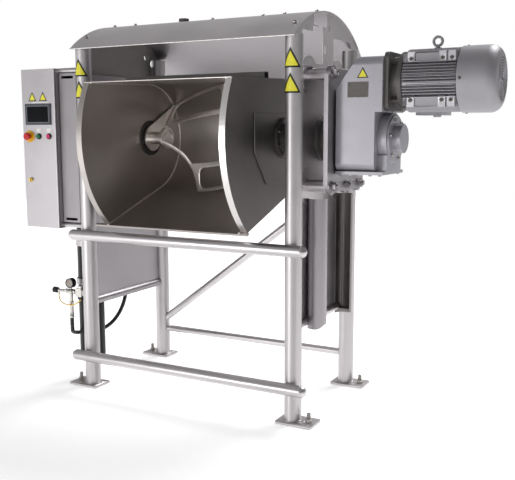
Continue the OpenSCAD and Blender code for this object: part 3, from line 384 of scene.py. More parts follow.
def makeStudio(values):
    world = bpy.data.worlds.new("studio")
    scene.world = world
    world.use_nodes = True
    tree = world.node_tree
    tree.nodes.clear()
    coords = addNode(tree, "ShaderNodeTexCoord")
    split = addNode(tree, "ShaderNodeSeparateXYZ", links={"Vector": coords.outputs["Generated"]})
    ramp = addNode(tree, "ShaderNodeValToRGB", links={"Fac": split.outputs["Z"]})
    while len(ramp.color_ramp.elements) < len(values["sky"]):
        ramp.color_ramp.elements.new(0.5)
    for element, (place, grey) in zip(ramp.color_ramp.elements, values["sky"]):
        element.position = place
        element.color = (grey, grey, grey, 1)
    side = addNode(tree, "ShaderNodeMapRange", {
        "From Min": -1.0, "From Max": 1.0,
        "To Min": values["sides"][0], "To Max": values["sides"][1]}, {"Value": split.outputs["X"]})
    soft = addNode(tree, "ShaderNodeBackground", {}, {
        "Color": ramp.outputs["Color"], "Strength": side})
    white = addNode(tree, "ShaderNodeBackground", {"Color": (1, 1, 1, 1), "Strength": 1.0})
    seen = addNode(tree, "ShaderNodeLightPath")
    mix = addNode(tree, "ShaderNodeMixShader", {}, {
        0: seen.outputs["Is Camera Ray"], 1: soft, 2: white})
    addNode(tree, "ShaderNodeOutputWorld", links={"Surface": mix})

    mesh = bpy.data.meshes.new("floor")
    (left, right), (front, back) = values["floorX"], values["floorY"]
    corners = [(left, front, 0), (right, front, 0), (right, back, 0), (left, back, 0)]
    mesh.from_pydata(corners, [], [(0, 1, 2, 3)])
    floor = bpy.data.objects.new("floor", mesh)
    collection.objects.link(floor)
    paper = newMaterial("paper_floor")
    shader = addNode(paper.node_tree, "ShaderNodeBsdfPrincipled", {
        "Base Color": hexColor(values["floorHex"]), "Roughness": 0.9, "Specular IOR Level": 0.1})
    glow = addNode(paper.node_tree, "ShaderNodeEmission",
        {"Color": (1, 1, 1, 1), "Strength": values["floorGlow"]})
    both = addNode(paper.node_tree, "ShaderNodeAddShader", {}, {0: shader, 1: glow})
    addNode(paper.node_tree, "ShaderNodeOutputMaterial", links={"Surface": both})
    mesh.materials.append(paper)

    place, target, wide, tall, watts = values["keyLight"]
    data = bpy.data.lights.new("keyLight", "AREA")
    data.shape = "RECTANGLE"
    data.size = wide
    data.size_y = tall
    data.energy = watts
    placeLight(data, place, Vector(target) - Vector(place))
    towards, spreadDeg, strength = values["backLight"]
    data = bpy.data.lights.new("backLight", "SUN")
    data.angle = math.radians(spreadDeg)
    data.energy = strength
    placeLight(data, Vector(towards), -Vector(towards))
    scene.view_settings.view_transform = "Standard"


makeStudio(studio)
print("studio made")

# ---- helpers for pieces that are made here, in the frame's own place
sharpDeg = 32


def smoothFaces(mesh):
    mesh.shade_smooth()
    mesh.set_sharp_from_angle(angle=math.radians(sharpDeg))


def addPiece(name, mesh, material, body, slot, *nodes):
    piece = bpy.data.objects.new(name, mesh)
    collection.objects.link(piece)
    if material:
        mesh.materials.clear()
        mesh.materials.append(finish[material])
    if nodes:
        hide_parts(*nodes)
    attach(piece, body)
    return piece


def meshOf(name, points, faces=(), edges=(), axes=None):
    # mm in, metres out; axes is the direction that each point's copy will face
    mesh = bpy.data.meshes.new(name)
    mesh.from_pydata([tuple(c / 1000 for c in p) for p in points], list(edges), list(faces))
    if axes:
        facing = mesh.attributes.new("axis", "FLOAT_VECTOR", "POINT")
        for item, axis in zip(facing.data, axes):
            item.vector = axis
    return mesh


def latheMesh(name, place, profile, steps=72, upright=False):
    # turns a closed profile of (along, radius) pairs about the line along X, or along Z
    points, faces = [], []
    for along, radius in profile:
        for k in range(steps):
            a = 2 * math.pi * k / steps
            c, s = radius * math.cos(a), radius * math.sin(a)
            offset = (c, s, along) if upright else (along, c, s)
            points.append([p + o for p, o in zip(place, offset)])
    count = len(profile)
    for i in range(count):
        one, two = i * steps, (i + 1) % count * steps
        for k in range(steps):
            n = (k + 1) % steps
            face = (one + k, one + n, two + n, two + k)
            faces.append(face if upright else face[::-1])
    mesh = meshOf(name, points, faces)
    smoothFaces(mesh)
    return mesh


def newTree(name, **inputs):
    tree = bpy.data.node_groups.new(name, "GeometryNodeTree")
    tree.interface.new_socket("Geometry", in_out="INPUT", socket_type="NodeSocketGeometry")
    for label, kind in inputs.items():
        tree.interface.new_socket(label, in_out="INPUT", socket_type="NodeSocket" + kind)
    tree.interface.new_socket("Geometry", in_out="OUTPUT", socket_type="NodeSocketGeometry")
    return tree, addNode(tree, "NodeGroupInput").outputs


def endTree(tree, geometry, material):
    real = addNode(tree, "GeometryNodeRealizeInstances", links={"Geometry": geometry})
    dressed = addNode(tree, "GeometryNodeSetMaterial", links={
        "Geometry": real, "Material": material})
    addNode(tree, "NodeGroupOutput", links={"Geometry": dressed})
    return tree


def endOnPoints(tree, given, shape):
    # one copy of the shape on each point of the base, turned to the point's axis
    facing = addNode(tree, "GeometryNodeInputNamedAttribute", {"Name": "axis"},
        data_type="FLOAT_VECTOR")
    turn = addNode(tree, "FunctionNodeAlignRotationToVector", {}, {"Vector": facing}, axis="Z")
    copies = addNode(tree, "GeometryNodeInstanceOnPoints", {}, {
        "Points": given["Geometry"], "Instance": shape, "Rotation": turn})
    return endTree(tree, copies, given["Material"])


def growPiece(name, tree, points, values, material, body, slot, axes=None, edges=()):
    # runs a geometry tree on points or a line in mm and keeps the result as a plain mesh
    base = meshOf(name + "_base", points, edges=edges, axes=axes)
    holder = bpy.data.objects.new(name + "_base", base)
    collection.objects.link(holder)
    grow = holder.modifiers.new("grow", "NODES")
    grow.node_group = tree
    given = dict(values, Material=finish[material])
    for item in tree.interface.items_tree:
        if item.item_type == "SOCKET" and item.in_out == "INPUT" and item.name in given:
            grow[item.identifier] = given[item.name]
    graph = bpy.context.evaluated_depsgraph_get()
    mesh = bpy.data.meshes.new_from_object(holder.evaluated_get(graph), depsgraph=graph)
    bpy.data.objects.remove(holder)
    mesh.name = name
    smoothFaces(mesh)
    addPiece(name, mesh, None, body, slot)


# ---- geometry trees for what repeats or follows a path
def screwTree():
    # a chamfered head with a recess on a washer, on each point, facing its axis
    share = {"crown": 0.15, "top": 0.84, "recess": 0.56, "recessDepth": -0.5, "washer": 0.2}
    tree, given = newTree("screw_heads", Sides="Int", Radius="Float", Height="Float",
        Washer="Float", Material="Material")
    head = addNode(tree, "GeometryNodeMeshCylinder", {}, {
        "Vertices": given["Sides"], "Radius": given["Radius"], "Depth": given["Height"]})
    lift = addNode(tree, "ShaderNodeMath", {1: share["crown"]}, {0: given["Height"]},
        operation="MULTIPLY")
    crown = addNode(tree, "GeometryNodeExtrudeMesh", {"Individual": False}, {
        "Mesh": head.outputs["Mesh"], "Selection": head.outputs["Top"], "Offset Scale": lift})
    taper = addNode(tree, "GeometryNodeScaleElements", {"Scale": share["top"]}, {
        "Geometry": crown.outputs["Mesh"], "Selection": crown.outputs["Top"]})
    rim = addNode(tree, "GeometryNodeExtrudeMesh", {"Individual": False, "Offset Scale": 0.0}, {
        "Mesh": taper, "Selection": crown.outputs["Top"]})
    inner = addNode(tree, "GeometryNodeScaleElements", {"Scale": share["recess"]}, {
        "Geometry": rim.outputs["Mesh"], "Selection": rim.outputs["Top"]})
    down = addNode(tree, "ShaderNodeMath", {1: share["recessDepth"]}, {0: given["Height"]},
        operation="MULTIPLY")
    recess = addNode(tree, "GeometryNodeExtrudeMesh", {"Individual": False}, {
        "Mesh": inner, "Selection": rim.outputs["Top"], "Offset Scale": down})
    washerDepth = addNode(tree, "ShaderNodeMath", {1: share["washer"]}, {0: given["Radius"]},
        operation="MULTIPLY")
    washer = addNode(tree, "GeometryNodeMeshCylinder", {"Vertices": 28}, {
        "Radius": given["Washer"], "Depth": washerDepth})
    half = addNode(tree, "ShaderNodeMath", {1: 0.5}, {0: given["Height"]}, operation="MULTIPLY")
    up = addNode(tree, "ShaderNodeCombineXYZ", {}, {"Z": half})
    raised = addNode(tree, "GeometryNodeTransform", {}, {
        "Geometry": recess.outputs["Mesh"], "Translation": up})
    both = addNode(tree, "GeometryNodeJoinGeometry", {}, {"Geometry": raised})
    tree.links.new(washer.outputs["Mesh"], both.inputs[0])
    return endOnPoints(tree, given, both)


def ringTree():
    # a stack of wire rings on each point, along its axis: threads, seams, fillets
    tree, given = newTree("wire_rings", Count="Int", Pitch="Float", Radius="Float",
        Wire="Float", Material="Material")
    step = addNode(tree, "ShaderNodeCombineXYZ", {}, {"Z": given["Pitch"]})
    stack = addNode(tree, "GeometryNodeMeshLine", {}, {"Count": given["Count"], "Offset": step})
    ring = addNode(tree, "GeometryNodeCurvePrimitiveCircle", {"Resolution": 56}, {
        "Radius": given["Radius"]})
    wire = addNode(tree, "GeometryNodeCurvePrimitiveCircle", {"Resolution": 8}, {
        "Radius": given["Wire"]})
    tube = addNode(tree, "GeometryNodeCurveToMesh", {}, {"Curve": ring, "Profile Curve": wire})
    rings = addNode(tree, "GeometryNodeInstanceOnPoints", {}, {"Points": stack, "Instance": tube})
    return endOnPoints(tree, given, rings)


def spokeTree():
    # bars set around each point's axis: knurls, dial marks, the ribs of a grille
    tree, given = newTree("spokes", Count="Int", Radius="Float", Size="Vector", Material="Material")
    spot = addNode(tree, "GeometryNodeCurvePrimitiveCircle", {}, {
        "Resolution": given["Count"], "Radius": given["Radius"]})
    spots = addNode(tree, "GeometryNodeCurveToPoints", {}, {"Curve": spot}, mode="EVALUATED")
    bar = addNode(tree, "GeometryNodeMeshCube", {}, {"Size": given["Size"]})
    place = addNode(tree, "GeometryNodeInputPosition")
    out = addNode(tree, "FunctionNodeAlignRotationToVector", {}, {"Vector": place},
        axis="X", pivot_axis="Z")
    bars = addNode(tree, "GeometryNodeInstanceOnPoints", {}, {
        "Points": spots, "Instance": bar.outputs["Mesh"], "Rotation": out})
    return endOnPoints(tree, given, bars)


def beadTree():
    # a slightly uneven round bead along each line of edges: weld seams and hems
    tree, given = newTree("beads", Radius="Float", Step="Float", Ripple="Float",
        Material="Material")
    line = addNode(tree, "GeometryNodeMeshToCurve", {}, {"Mesh": given["Geometry"]})
    even = addNode(tree, "GeometryNodeResampleCurve", {}, {
        "Curve": line, "Length": given["Step"]}, mode="LENGTH")
    noise = addNode(tree, "ShaderNodeTexNoise", {"Scale": 90.0, "Detail": 1.0})
    size = addNode(tree, "ShaderNodeMapRange", noiseSpan, {
        "Value": noise.outputs["Fac"], "To Min": given["Ripple"]})
    uneven = addNode(tree, "GeometryNodeSetCurveRadius", {}, {"Curve": even, "Radius": size})
    section = addNode(tree, "GeometryNodeCurvePrimitiveCircle", {"Resolution": 10}, {
        "Radius": given["Radius"]})
    bead = addNode(tree, "GeometryNodeCurveToMesh", {"Fill Caps": True}, {
        "Curve": uneven, "Profile Curve": section})
    return endTree(tree, bead, given["Material"])


screws, rings, spokes, beads = screwTree(), ringTree(), spokeTree(), beadTree()
print("geometry trees made")

# ---- dress the CAD nodes
nodeFinish = {
    "satinPipe": "leg_front_left leg_front_right leg_rear_left leg_rear_right barrel_clamps",
    "satinRail": "rail_upper rail_lower rear_bracing spacer_tubes",
    "turnedSteel": "anchor_bolts trunnion_bolts tilt_sector",
    "blastedSheet": "side_plate_right hood_sheet hood_end_right",
    # painted shade on the left hood end and the trunnions
    "rolledSheet": "hood_end_left trunnion_left trunnion_right",
    # the pipe guards in painted shade
    "hoodInside": "pipe_guards",
    # cabinet and drive housing in darker sheet, as painted shade
    "shadedCabinetSheet": "cabinet_box cabinet_door",
    "shadedHousingSheet": "drive_housing drive_cover carrier_plate side_plate_left",
    "brushedSheet": "bowl_shell bowl_wall_left bowl_wall_right",
    # the agitator a little brighter, partly as painted highlight
    "castingAndHighlight": "agitator_blades agitator_hub_left agitator_hub_right",
    "darkEnamel": "bowl_stiffener motor_adapter bearings",
    "greyEnamel": "gearbox_housing output_cover",
    "motorEnamel": "motor_frame",
    "greyNylon": "vent_cap",
    "mouldedBlack": "motor_rotor gauge_case air_knob button_rings",
    # the shaft seals' dark ring, partly painted shadow in the gap round each hub
    "sealAndGapShade": "shaft_seals",
    "blackEnamel": "tilt_barrel",
    "hardChrome": "tilt_rod",
    "etchedPlate": "nameplate",
    "bezelPlastic": "hmi_panel",
    "paleLabel": "door_labels",
    "redPlastic": "estop_head gauge_needle",
    "rosePlastic": "stop_button",
    "greenPlastic": "start_button",
    "lockBrass": "door_lock",
    "nickelPlate": "air_regulator air_manifold",
    "hoseRubber": "air_hose",
    "yellowTube": "air_line",
}
finishOf = {n: f for f, names in nodeFinish.items() for n in names.split()}

# width in mm of the small rounding that each node's edges get
edgeNodes = {
    0.6: "button_rings air_knob air_manifold",
    0.8: "hood_end_left hood_end_right drive_cover anchor_bolts start_button stop_button "
        "gauge_case",
    1.0: "estop_head air_regulator agitator_hub_left agitator_hub_right vent_cap",
    1.2: "bowl_wall_left bowl_wall_right",
    1.5: "carrier_plate cabinet_box cabinet_door hmi_panel drive_housing bearings "
        "trunnion_left trunnion_right",
    2.0: "output_cover motor_adapter tilt_barrel",
    3.0: "gearbox_housing",
}
edgeMm = {n: width for width, names in edgeNodes.items() for n in names.split()}

# in mm, where the edge of the bowl's walls starts, measured from the shaft
rimFrom = 530.5


def underHood(centre, normal):
    # faces of the hood's sheet that look towards the shaft, where painted shade goes
    return normal.y * (centre[1] - shaftY) + normal.z * (centre[2] - shaftZ) < 0


def onRim(centre, normal):
    # the outer edge of the bowl's right wall, where the painted highlight goes
    return math.hypot(centre[1] - shaftY, centre[2] - shaftZ) > rimFrom


# faces whose centres lie between two corners, in mm, get a second finish: finish, low, high, test
zones = {
    "hmi_panel": [("screenGlass", (-900, -359.8, 1320), (-750, -359.2, 1410))],
    # painted shade on the hood's underside
    "hood_sheet": [("hoodInside", (-593, -900, 1300), (593, 900, 2000), underHood)],
    "bowl_wall_right": [
        # painted highlight on the rim
        ("groundRim", (330, -900, 600), (363, 900, 2000), onRim),
        # painted shade on the wall's outer face
        ("rolledSheet", (361, -900, 600), (363, 900, 2000)),
    ],
    # painted shade on the left wall's outer face
    "bowl_wall_left": [("rolledSheet", (-427, -900, 600), (-425, 900, 2000))],
    "trunnion_left": [("darkEnamel", (-800, -400, 900), (-433, 400, 1600))],
    "trunnion_right": [("darkEnamel", (369, -400, 900), (800, 400, 1600))],
    # painted shade on the rear part of the pipe guards
    "pipe_guards": [("rolledSheet", (500, 60, 300), (800, 300, 1100))],
    "door_labels": [("stopYellow", (-921, -360, 1225), (-857, -350, 1287))],
    "motor_frame": [
        ("machinedPad", (960, -120.5, 1370), (1202, -119.5, 1610)),
        ("machinedPad", (960, 99.5, 1370), (1202, 100.5, 1610)),
    ],
    "air_regulator": [("mouldedBlack", (-660, -340, 430), (-612, -280, 452))],
    # painted shadow on the gearbox's inner side
    "gearbox_housing": [("darkEnamel", (680, -200, 1100), (689.5, 200, 1400))],
}


def paintZones(mesh, node):
    for name, low, high, *tests in zones.get(node, ()):
        mesh.materials.append(finish[name])
        index = len(mesh.materials) - 1
        for face in mesh.polygons:
            centre = [c * 1000 for c in face.center]
            inBox = all(a <= c <= b for a, c, b in zip(low, centre, high))
            if inBox and all(test(centre, face.normal) for test in tests):
                face.material_index = index


# the hood's end plates stop inside the front legs instead of just past them, in mm
trimY = {"hood_end_left": -342, "hood_end_right": -342}
dressValues = {
    "mergeMm": 0.02, "sliverMm": 0.01, "flatDeg": 0.05, "faceWeight": 90,
    # corners sharper than this are rounded, in so many steps
    "roundedDeg": 50, "steps": 2,
}


def dressNode(node, widthMm, values):
    # a merged copy of the CAD solid with smooth faces and slightly rounded edges
    mesh = nodeObjects[node].data.copy()
    mesh.name = node + "_dressed"
    shape = bmesh.new()
    shape.from_mesh(mesh)
    if node in trimY:
        for vert in shape.verts:
            vert.co.y = max(vert.co.y, trimY[node] / 1000)
    bmesh.ops.remove_doubles(shape, verts=shape.verts, dist=values["mergeMm"] / 1000)
    bmesh.ops.dissolve_degenerate(shape, edges=shape.edges, dist=values["sliverMm"] / 1000)
    bmesh.ops.dissolve_limit(shape, angle_limit=math.radians(values["flatDeg"]),
        verts=shape.verts, edges=shape.edges)
    shape.to_mesh(mesh)
    shape.free()
    piece = addPiece(mesh.name, mesh, finishOf[node], bodyOf[node], slotOf[node], node)
    paintZones(mesh, node)
    smoothFaces(mesh)
    if widthMm:
        bevel = piece.modifiers.new("edge", "BEVEL")
        bevel.width = widthMm / 1000
        bevel.segments = values["steps"]
        bevel.limit_method = "ANGLE"
        bevel.angle_limit = math.radians(values["roundedDeg"])
    flat = piece.modifiers.new("flat", "WEIGHTED_NORMAL")
    flat.keep_sharp = True
    flat.weight = values["faceWeight"]


madeElsewhere = ("air_hose", "air_line", "warning_signs", "fan_cowl", "agitator_blades")
for nodeName in sorted(nodeObjects):
    if nodeName not in madeElsewhere:
        dressNode(nodeName, edgeMm.get(nodeName, 0), dressValues)
print("CAD nodes dressed")

# ---- agitator castings: remeshed so that their edges are ground round
castValues = {"voxelMm": 3.4, "softness": 0.5, "passes": 4}


def castNode(node, values):
    mesh = nodeObjects[node].data.copy()
    piece = addPiece(node + "_cast", mesh, finishOf[node], bodyOf[node], slotOf[node], node)
    remesh = piece.modifiers.new("remesh", "REMESH")
    remesh.mode = "VOXEL"
    remesh.voxel_size = values["voxelMm"] / 1000
    remesh.use_smooth_shade = True
    soft = piece.modifiers.new("soft", "SMOOTH")
    soft.factor = values["softness"]
    soft.iterations = values["passes"]


castNode("agitator_blades", castValues)
print("agitator cast")

# ---- weld seams inside the bowl, drawn upright and tipped with it
bowlSection = {
    "radius": 272,
    "mouth": 532,
    "mouthHalfDeg": 39.2,
    "tipDeg": 100.5,
    # how far the front lip goes past the mouth, and the rear edge stops short of it
    "lipMore": 18,
    "rearLess": 4,
    "insideX": (-395, 331),
    "seamInset": 2.2,
    "arcSteps": 60,
    "bead": {"Radius": 0.0044, "Step": 0.006, "Ripple": 0.8},
}


def tippedPoint(values, x, u, v):
    t = math.radians(values["tipDeg"])
    y = shaftY + u * math.cos(t) - v * math.sin(t)
    z = shaftZ + u * math.sin(t) + v * math.cos(t)
    return (x, y, z)


def troughLine(values):
    # the bowl's inner line from the front lip round the bottom to the rear edge
    r = values["radius"] - values["seamInset"]
    flat = math.sqrt(values["mouth"] ** 2 - values["radius"] ** 2)
    upright = math.radians(90 - values["mouthHalfDeg"])
    lean = upright - math.acos(values["radius"] / values["mouth"])
    ends = []
    for side, length in ((-1, flat + values["lipMore"]), (1, flat - values["rearLess"])):
        for far in (length, length / 2):
            u = side * (r * math.cos(lean) - far * math.sin(lean))
            ends.append((u, r * math.sin(lean) + far * math.cos(lean)))
    turn = math.pi + 2 * lean
    steps = values["arcSteps"]
    angles = [lean - turn * i / steps for i in range(steps + 1)]
    arc = [(-r * math.cos(a), r * math.sin(a)) for a in angles]
    return ends[:2] + arc + ends[:1:-1]


seamPoints, seamEdges = [], []
for wallX, side in zip(bowlSection["insideX"], (1, -1)):
    first = len(seamPoints)
    seamX = wallX + side * bowlSection["seamInset"]
    seamPoints += [tippedPoint(bowlSection, seamX, u, v) for u, v in troughLine(bowlSection)]
    seamEdges += [(i, i + 1) for i in range(first, len(seamPoints) - 1)]
growPiece("bowl_weld_seams", beads, seamPoints, bowlSection["bead"],
    "weldSeam", "bowl", "stainless_sheet", edges=seamEdges)
print("weld seams made")

# ---- hood: folded hems on its long edges, screws and the vent cap's grip
hood = {
    "radius": 560,
    "half": 594,
    "edgesDeg": (33.0, 130.5),
    "hemInset": 1.5,
    "hem": {"Radius": 0.0030, "Step": 0.02, "Ripple": 1.0},
    # degrees in front of the crown: places along the hood, as shares of its length
    "screwsAt": {6: (-0.47, -0.362, 0.017, 0.244, 0.337, 0.47), 30: (-0.47, 0.47)},
    "screwRise": 3.5,
    "screw": {"Sides": 6, "Radius": 0.0068, "Height": 0.005, "Washer": 0.0095},
    "capX": -180,
    "capRise": 13,
    "capGrip": {"Count": 28, "Radius": 0.024, "Size": (0.0016, 0.0022, 0.010)},
}
hemPoints, hemEdges = [], []
for angle in hood["edgesDeg"]:
    a = math.radians(angle)
    hemRadius = hood["radius"] - hood["hemInset"]
    y, z = shaftY + hemRadius * math.cos(a), shaftZ + hemRadius * math.sin(a)
    first = len(hemPoints)
    hemPoints += [(x, y, z) for x in (-hood["half"], 0, hood["half"])]
    hemEdges += [(first, first + 1), (first + 1, first + 2)]
growPiece("hood_hems", beads, hemPoints, hood["hem"],
    "weldSeam", "frame", "stainless_sheet", edges=hemEdges)

screwPoints, screwAxes = [], []
for lean, shares in hood["screwsAt"].items():
    a = math.radians(lean)
    out = (0, -math.sin(a), math.cos(a))
    far = hood["radius"] + hood["screwRise"]
    for share in shares:
        screwAxes.append(out)
        screwPoints.append((hood["half"] * 2 * share, shaftY + out[1] * far, shaftZ + out[2] * far))
growPiece("hood_cap_screws", screws, screwPoints, hood["screw"],
    "turnedSteel", "frame", "steel_hardware", axes=screwAxes)
capPoint = (hood["capX"], shaftY, shaftZ + hood["radius"] + hood["capRise"])
growPiece("vent_cap_grip", spokes, [capPoint], hood["capGrip"],
    "greyNylon", "vent_cap", "black_plastic", axes=[(0, 0, 1)])
print("hood details made")

# ---- motor: fan cowl with a slotted grille, and screws in the frame's pads
cowl = {
    # along the shaft in mm: the open edge, a ring of points near it, and the closed end
    "from": 1202, "ring": 1208, "to": 1358,
    "radius": 137, "corner": 45, "cornerSteps": 14, "sheet": 3, "steps": 96,
    # the ring that the cowl sits on, as (along, radius)
    "seat": [(1201, 98), (1204, 98), (1204, 135), (1201, 135)],
    "screwX": 1216,
    "screw": {"Sides": 20, "Radius": 0.005, "Height": 0.0026, "Washer": 0.007},
}
grille = {
    "x": 1355.5, "rings": 8, "firstRadius": 12, "spacing": 11.2, "wire": 0.0018,
    "bar": (0.0114, 0.0030, 0.0030),
    # bars inside the first ring, and how many more each next one has
    "barsMore": 6,
}


def cowlProfile(v):
    straight = v["to"] - v["corner"]
    hub = v["radius"] - v["corner"]
    inner = v["corner"] - v["sheet"]
    outside = [(v["from"], v["radius"]), (v["ring"], v["radius"]), (straight, v["radius"])]
    inside = [(straight, v["radius"] - v["sheet"]), (v["from"], v["radius"] - v["sheet"])]
    turns = [math.radians(90 * i / v["cornerSteps"]) for i in range(1, v["cornerSteps"] + 1)]
    outside += [(straight + v["corner"] * math.sin(a), hub + v["corner"] * math.cos(a))
        for a in turns]
    curve = [(straight + inner * math.sin(a), hub + inner * math.cos(a)) for a in turns[::-1]]
    return outside + curve + inside


motorAxis = (0, shaftY, motorZ)
cowlShell = latheMesh("fan_cowl_shell", motorAxis, cowlProfile(cowl), cowl["steps"])
addPiece("fan_cowl_shell", cowlShell, "motorEnamel", "frame", "grey_paint", "fan_cowl")
cowlSeat = latheMesh("fan_cowl_seat", motorAxis, cowl["seat"])
addPiece("fan_cowl_seat", cowlSeat, "motorEnamel", "frame", "grey_paint")
for index in range(grille["rings"]):
    radius = grille["firstRadius"] + grille["spacing"] * index
    middle = [(grille["x"], shaftY, motorZ)]
    growPiece(f"grille_ring_{index}", rings, middle,
        {"Count": 1, "Pitch": 0.01, "Radius": radius / 1000, "Wire": grille["wire"]},
        "motorEnamel", "frame", "grey_paint", axes=[(1, 0, 0)])
    growPiece(f"grille_bars_{index}", spokes, middle,
        {"Count": grille["barsMore"] * (1 + index), "Size": grille["bar"],
            "Radius": (radius + grille["spacing"] / 2) / 1000},
        "motorEnamel", "frame", "grey_paint", axes=[(1, 0, 0)])

motorPads = {
    "x": (1008, 1139, 1177), "face": 110, "up": 84,
    "screw": {"Sides": 20, "Radius": 0.0052, "Height": 0.003, "Washer": 0.007},
    "ring": {"Count": 1, "Pitch": 0.001, "Radius": 0.0085, "Wire": 0.0014},
}
padPoints, padAxes = [], []
for side in (-1, 1):
    for x in motorPads["x"]:
        for up in (-motorPads["up"], motorPads["up"]):
            padPoints.append((x, shaftY + side * motorPads["face"], motorZ + up))
            padAxes.append((0, side, 0))
growPiece("motor_pad_screws", screws, padPoints, motorPads["screw"],
    "darkEnamel", "frame", "steel_hardware", axes=padAxes)
growPiece("motor_pad_rings", rings, padPoints, motorPads["ring"],
    "turnedSteel", "frame", "steel_hardware", axes=padAxes)
cowlAxes = [(0, -1, 0), (0, 1, 0), (0, 0, 1), (0, 0, -1)]
cowlPoints = [(cowl["screwX"], shaftY + cowl["radius"] * y, motorZ + cowl["radius"] * z)
    for x, y, z in cowlAxes]
growPiece("cowl_screws", screws, cowlPoints, cowl["screw"],
    "darkEnamel", "frame", "steel_hardware", axes=cowlAxes)
print("motor details made")

# ---- gearbox: screws of the output cover and a raised rim on the plate
outputCover = {
    "x": 919, "radius": 88, "firstDeg": 20, "count": 6,
    "screw": {"Sides": 6, "Radius": 0.0062, "Height": 0.005, "Washer": 0.009},
}
coverPoints = []
for k in range(outputCover["count"]):
    a = math.radians(outputCover["firstDeg"] + 360 / outputCover["count"] * k)
    coverPoints.append((outputCover["x"], shaftY - outputCover["radius"] * math.sin(a),
        shaftZ + outputCover["radius"] * math.cos(a)))
growPiece("output_cover_screws", screws, coverPoints, outputCover["screw"],
    "turnedSteel", "frame", "steel_hardware", axes=[(1, 0, 0)] * outputCover["count"])

plate = {
    "low": (744, 1422), "high": (835, 1487), "front": -156.2,
    "rim": {"Radius": 0.0012, "Step": 0.004, "Ripple": 1.0},
}
(plateLeft, plateFoot), (plateRight, plateTop) = plate["low"], plate["high"]
plateCorners = [(x, plate["front"], z) for x, z in ((plateLeft, plateFoot),
    (plateRight, plateFoot), (plateRight, plateTop), (plateLeft, plateTop))]
growPiece("nameplate_rim", beads, plateCorners, plate["rim"],
    "turnedSteel", "frame", "plate_metal", edges=[(0, 1), (1, 2), (2, 3), (3, 0)])

# ---- studs, foot welds and rail caps
feet = {
    "studX": 643, "studZ": 27, "weldZ": 11.5,
    "thread": {"Count": 10, "Pitch": 0.0025, "Radius": 0.008, "Wire": 0.0009},
    "weld": {"Count": 1, "Pitch": 0.001, "Radius": 0.0382, "Wire": 0.0026},
}
railCaps = {
    "x": (-608, 632), "y": -375.1, "z": (776, 166),
    "seam": {"Count": 1, "Pitch": 0.001, "Radius": 0.0258, "Wire": 0.0010},
}
corners = [(i, j) for i in (-1, 1) for j in (-1, 1)]
growPiece("stud_threads", rings, [(i * feet["studX"], j * legY, feet["studZ"]) for i, j in corners],
    feet["thread"], "turnedSteel", "frame", "steel_hardware", axes=[(0, 0, 1)] * 4)
growPiece("foot_welds", rings, [(i * legX, j * legY, feet["weldZ"]) for i, j in corners],
    feet["weld"], "satinPipe", "frame", "stainless_tube", axes=[(0, 0, 1)] * 4)
growPiece("rail_cap_seams", rings,
    [(x, railCaps["y"], z) for x in railCaps["x"] for z in railCaps["z"]],
    railCaps["seam"], "weldSeam", "frame", "stainless_tube", axes=[(1, 0, 0)] * 4)
print("frame details made")

# ---- warning triangles, bare, with a dark border that follows the distance to their edge
signs = {
    "leg": {"half": 46.5, "low": -42, "high": 42, "border": 7.5},
    # the leg's radius, the sign's radius when wrapped round it, and its heights
    "legRadius": 38,
    "wrapRadius": 38.85,
    "legZ": {"low": 1480, "high": 1584},
    "small": {"half": 26, "low": -22, "high": 23, "border": 4.4},
    "smallPlaces": {
        "gearbox_sign": ("frame", 810, -155.9, 1524),
        "door_sign_left": ("cabinet_door", -863, -355.9, 1452),
        "door_sign_right": ("cabinet_door", -793, -355.9, 1452),
    },
    "rows": 16,
}


def signMesh(name, v, wrap, rows):
    points, faces, distances, rowsAt = [], [], [], []
    tall = v["high"] - v["low"]
    slope = math.hypot(tall, v["half"])
    for j in range(rows + 1):
        z = v["low"] + tall * j / rows
        wide = v["half"] * (v["high"] - z) / tall
        rowsAt.append(len(points))
        for i in range(rows + 1):
            s = wide * (2 * i / rows - 1)
            points.append(wrap(s, z))
            distances.append(min(z - v["low"], (wide - abs(s)) * tall / slope))
    for one, two in zip(rowsAt, rowsAt[1:]):
        faces += [(one + i, one + i + 1, two + i + 1, two + i) for i in range(rows)]
    mesh = meshOf(name, points, faces)
    edge = mesh.attributes.new("edge", "FLOAT", "POINT")
    for item, d in zip(edge.data, distances):
        item.value = d / v["border"]
    mesh.shade_smooth()
    return mesh


def legSign(name, v, x, zMid):
    radius = v["wrapRadius"]

    def wrap(s, z):
        a = s / v["legRadius"]
        return (x + radius * math.sin(a), -legY - radius * math.cos(a), zMid + z)

    return signMesh(name, v["leg"], wrap, v["rows"])


for x, side in ((-legX, "left"), (legX, "right")):
    for level, z in signs["legZ"].items():
        name = f"leg_sign_{side}_{level}"
        replaced = ("warning_signs",) if name == "leg_sign_left_low" else ()
        addPiece(name, legSign(name, signs, x, z), "signVinyl", "frame", "sign_yellow", *replaced)
for name, (body, x, y, zMid) in signs["smallPlaces"].items():
    mesh = signMesh(name, signs["small"], lambda s, z: (x + s, y, zMid + z), signs["rows"])
    addPiece(name, mesh, "signVinyl", body, "sign_yellow")
print("signs made")

# ---- touch panel: raised inner frame round the glass
panel = {
    "centre": (-827, 1365), "outer": (73, 42), "inner": (69.5, 38.5),
    "front": -361.6, "back": -359.4,
}


def panelFrame(v):
    points, faces = [], []
    x0, z0 = v["centre"]
    for half, y in ((v["outer"], v["back"]), (v["outer"], v["front"]), (v["inner"], v["front"]),
            (v["inner"], v["back"])):
        points += [(x0 + i * half[0], y, z0 + j * half[1])
            for i, j in ((-1, -1), (1, -1), (1, 1), (-1, 1))]
    for ring in range(3):
        for k in range(4):
            n = (k + 1) % 4
            faces.append((ring * 4 + k, ring * 4 + n, ring * 4 + 4 + n, ring * 4 + 4 + k))
    return meshOf("hmi_inner_frame", points, faces)


addPiece("hmi_inner_frame", panelFrame(panel), "framePlastic", "cabinet_door", "screen_plastic")
print("touch panel made")

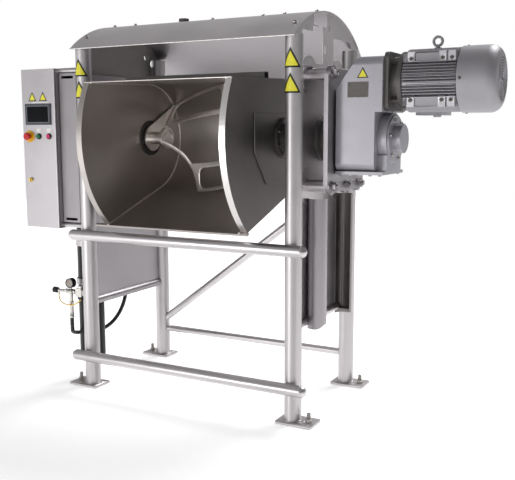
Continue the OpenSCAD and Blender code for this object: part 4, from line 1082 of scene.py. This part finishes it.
# ---- air supply: crimped ferrule, knob grip and gauge marks, about the hose's upright axis
airSupply = {
    "axis": (-694, -311),
    # the ferrule's outline as (height, radius), from its top round to its bore
    "ferruleSteps": 40,
    "ferrule": [(364, 10.05), (364, 12.0), (358, 12.6), (355, 11.6), (352, 12.6), (349, 11.6),
        (346, 12.6), (343, 11.6), (340, 12.6), (334, 12.2), (333, 10.05)],
    "knobOut": 103,
    "knobZ": 470,
    "knobGrip": {"Count": 24, "Radius": 0.014, "Size": (0.0014, 0.0016, 0.020)},
    "gaugeZ": 514,
    "marksOut": 11.5,
    "marks": {"Count": 30, "Radius": 0.018, "Size": (0.0036, 0.0007, 0.0003)},
}
dial = {"out": 11.2, "radius": 21.6, "hubRadius": 2.4, "hubRise": 0.4, "steps": 40}


def dialMesh(name, place, v):
    points, steps = [], v["steps"]
    for radius, rise in ((v["radius"], 0), (v["hubRadius"], v["hubRise"])):
        for k in range(steps):
            a = 2 * math.pi * k / steps
            points.append((place[0] + radius * math.cos(a), place[1] - rise,
                place[2] + radius * math.sin(a)))
    faces = [(k, (k + 1) % steps, steps + (k + 1) % steps, steps + k) for k in range(steps)]
    return meshOf(name, points, faces)


airX, airY = airSupply["axis"]
ferrule = latheMesh("hose_ferrule", (airX, airY, 0), airSupply["ferrule"],
    airSupply["ferruleSteps"], upright=True)
addPiece("hose_ferrule", ferrule, "nickelPlate", "frame", "nickel_fittings")
growPiece("air_knob_grip", spokes, [(airX - airSupply["knobOut"], airY, airSupply["knobZ"])],
    airSupply["knobGrip"], "mouldedBlack", "air_knob", "black_plastic", axes=[(1, 0, 0)])
dialPlace = (airX, airY - dial["out"], airSupply["gaugeZ"])
addPiece("gauge_dial", dialMesh("gauge_dial", dialPlace, dial), "dialGrey", "frame", "label_plate")
growPiece("gauge_marks", spokes, [(airX, airY - airSupply["marksOut"], airSupply["gaugeZ"])],
    airSupply["marks"], "mouldedBlack", "frame", "black_plastic", axes=[(0, -1, 0)])
print("air supply details made")
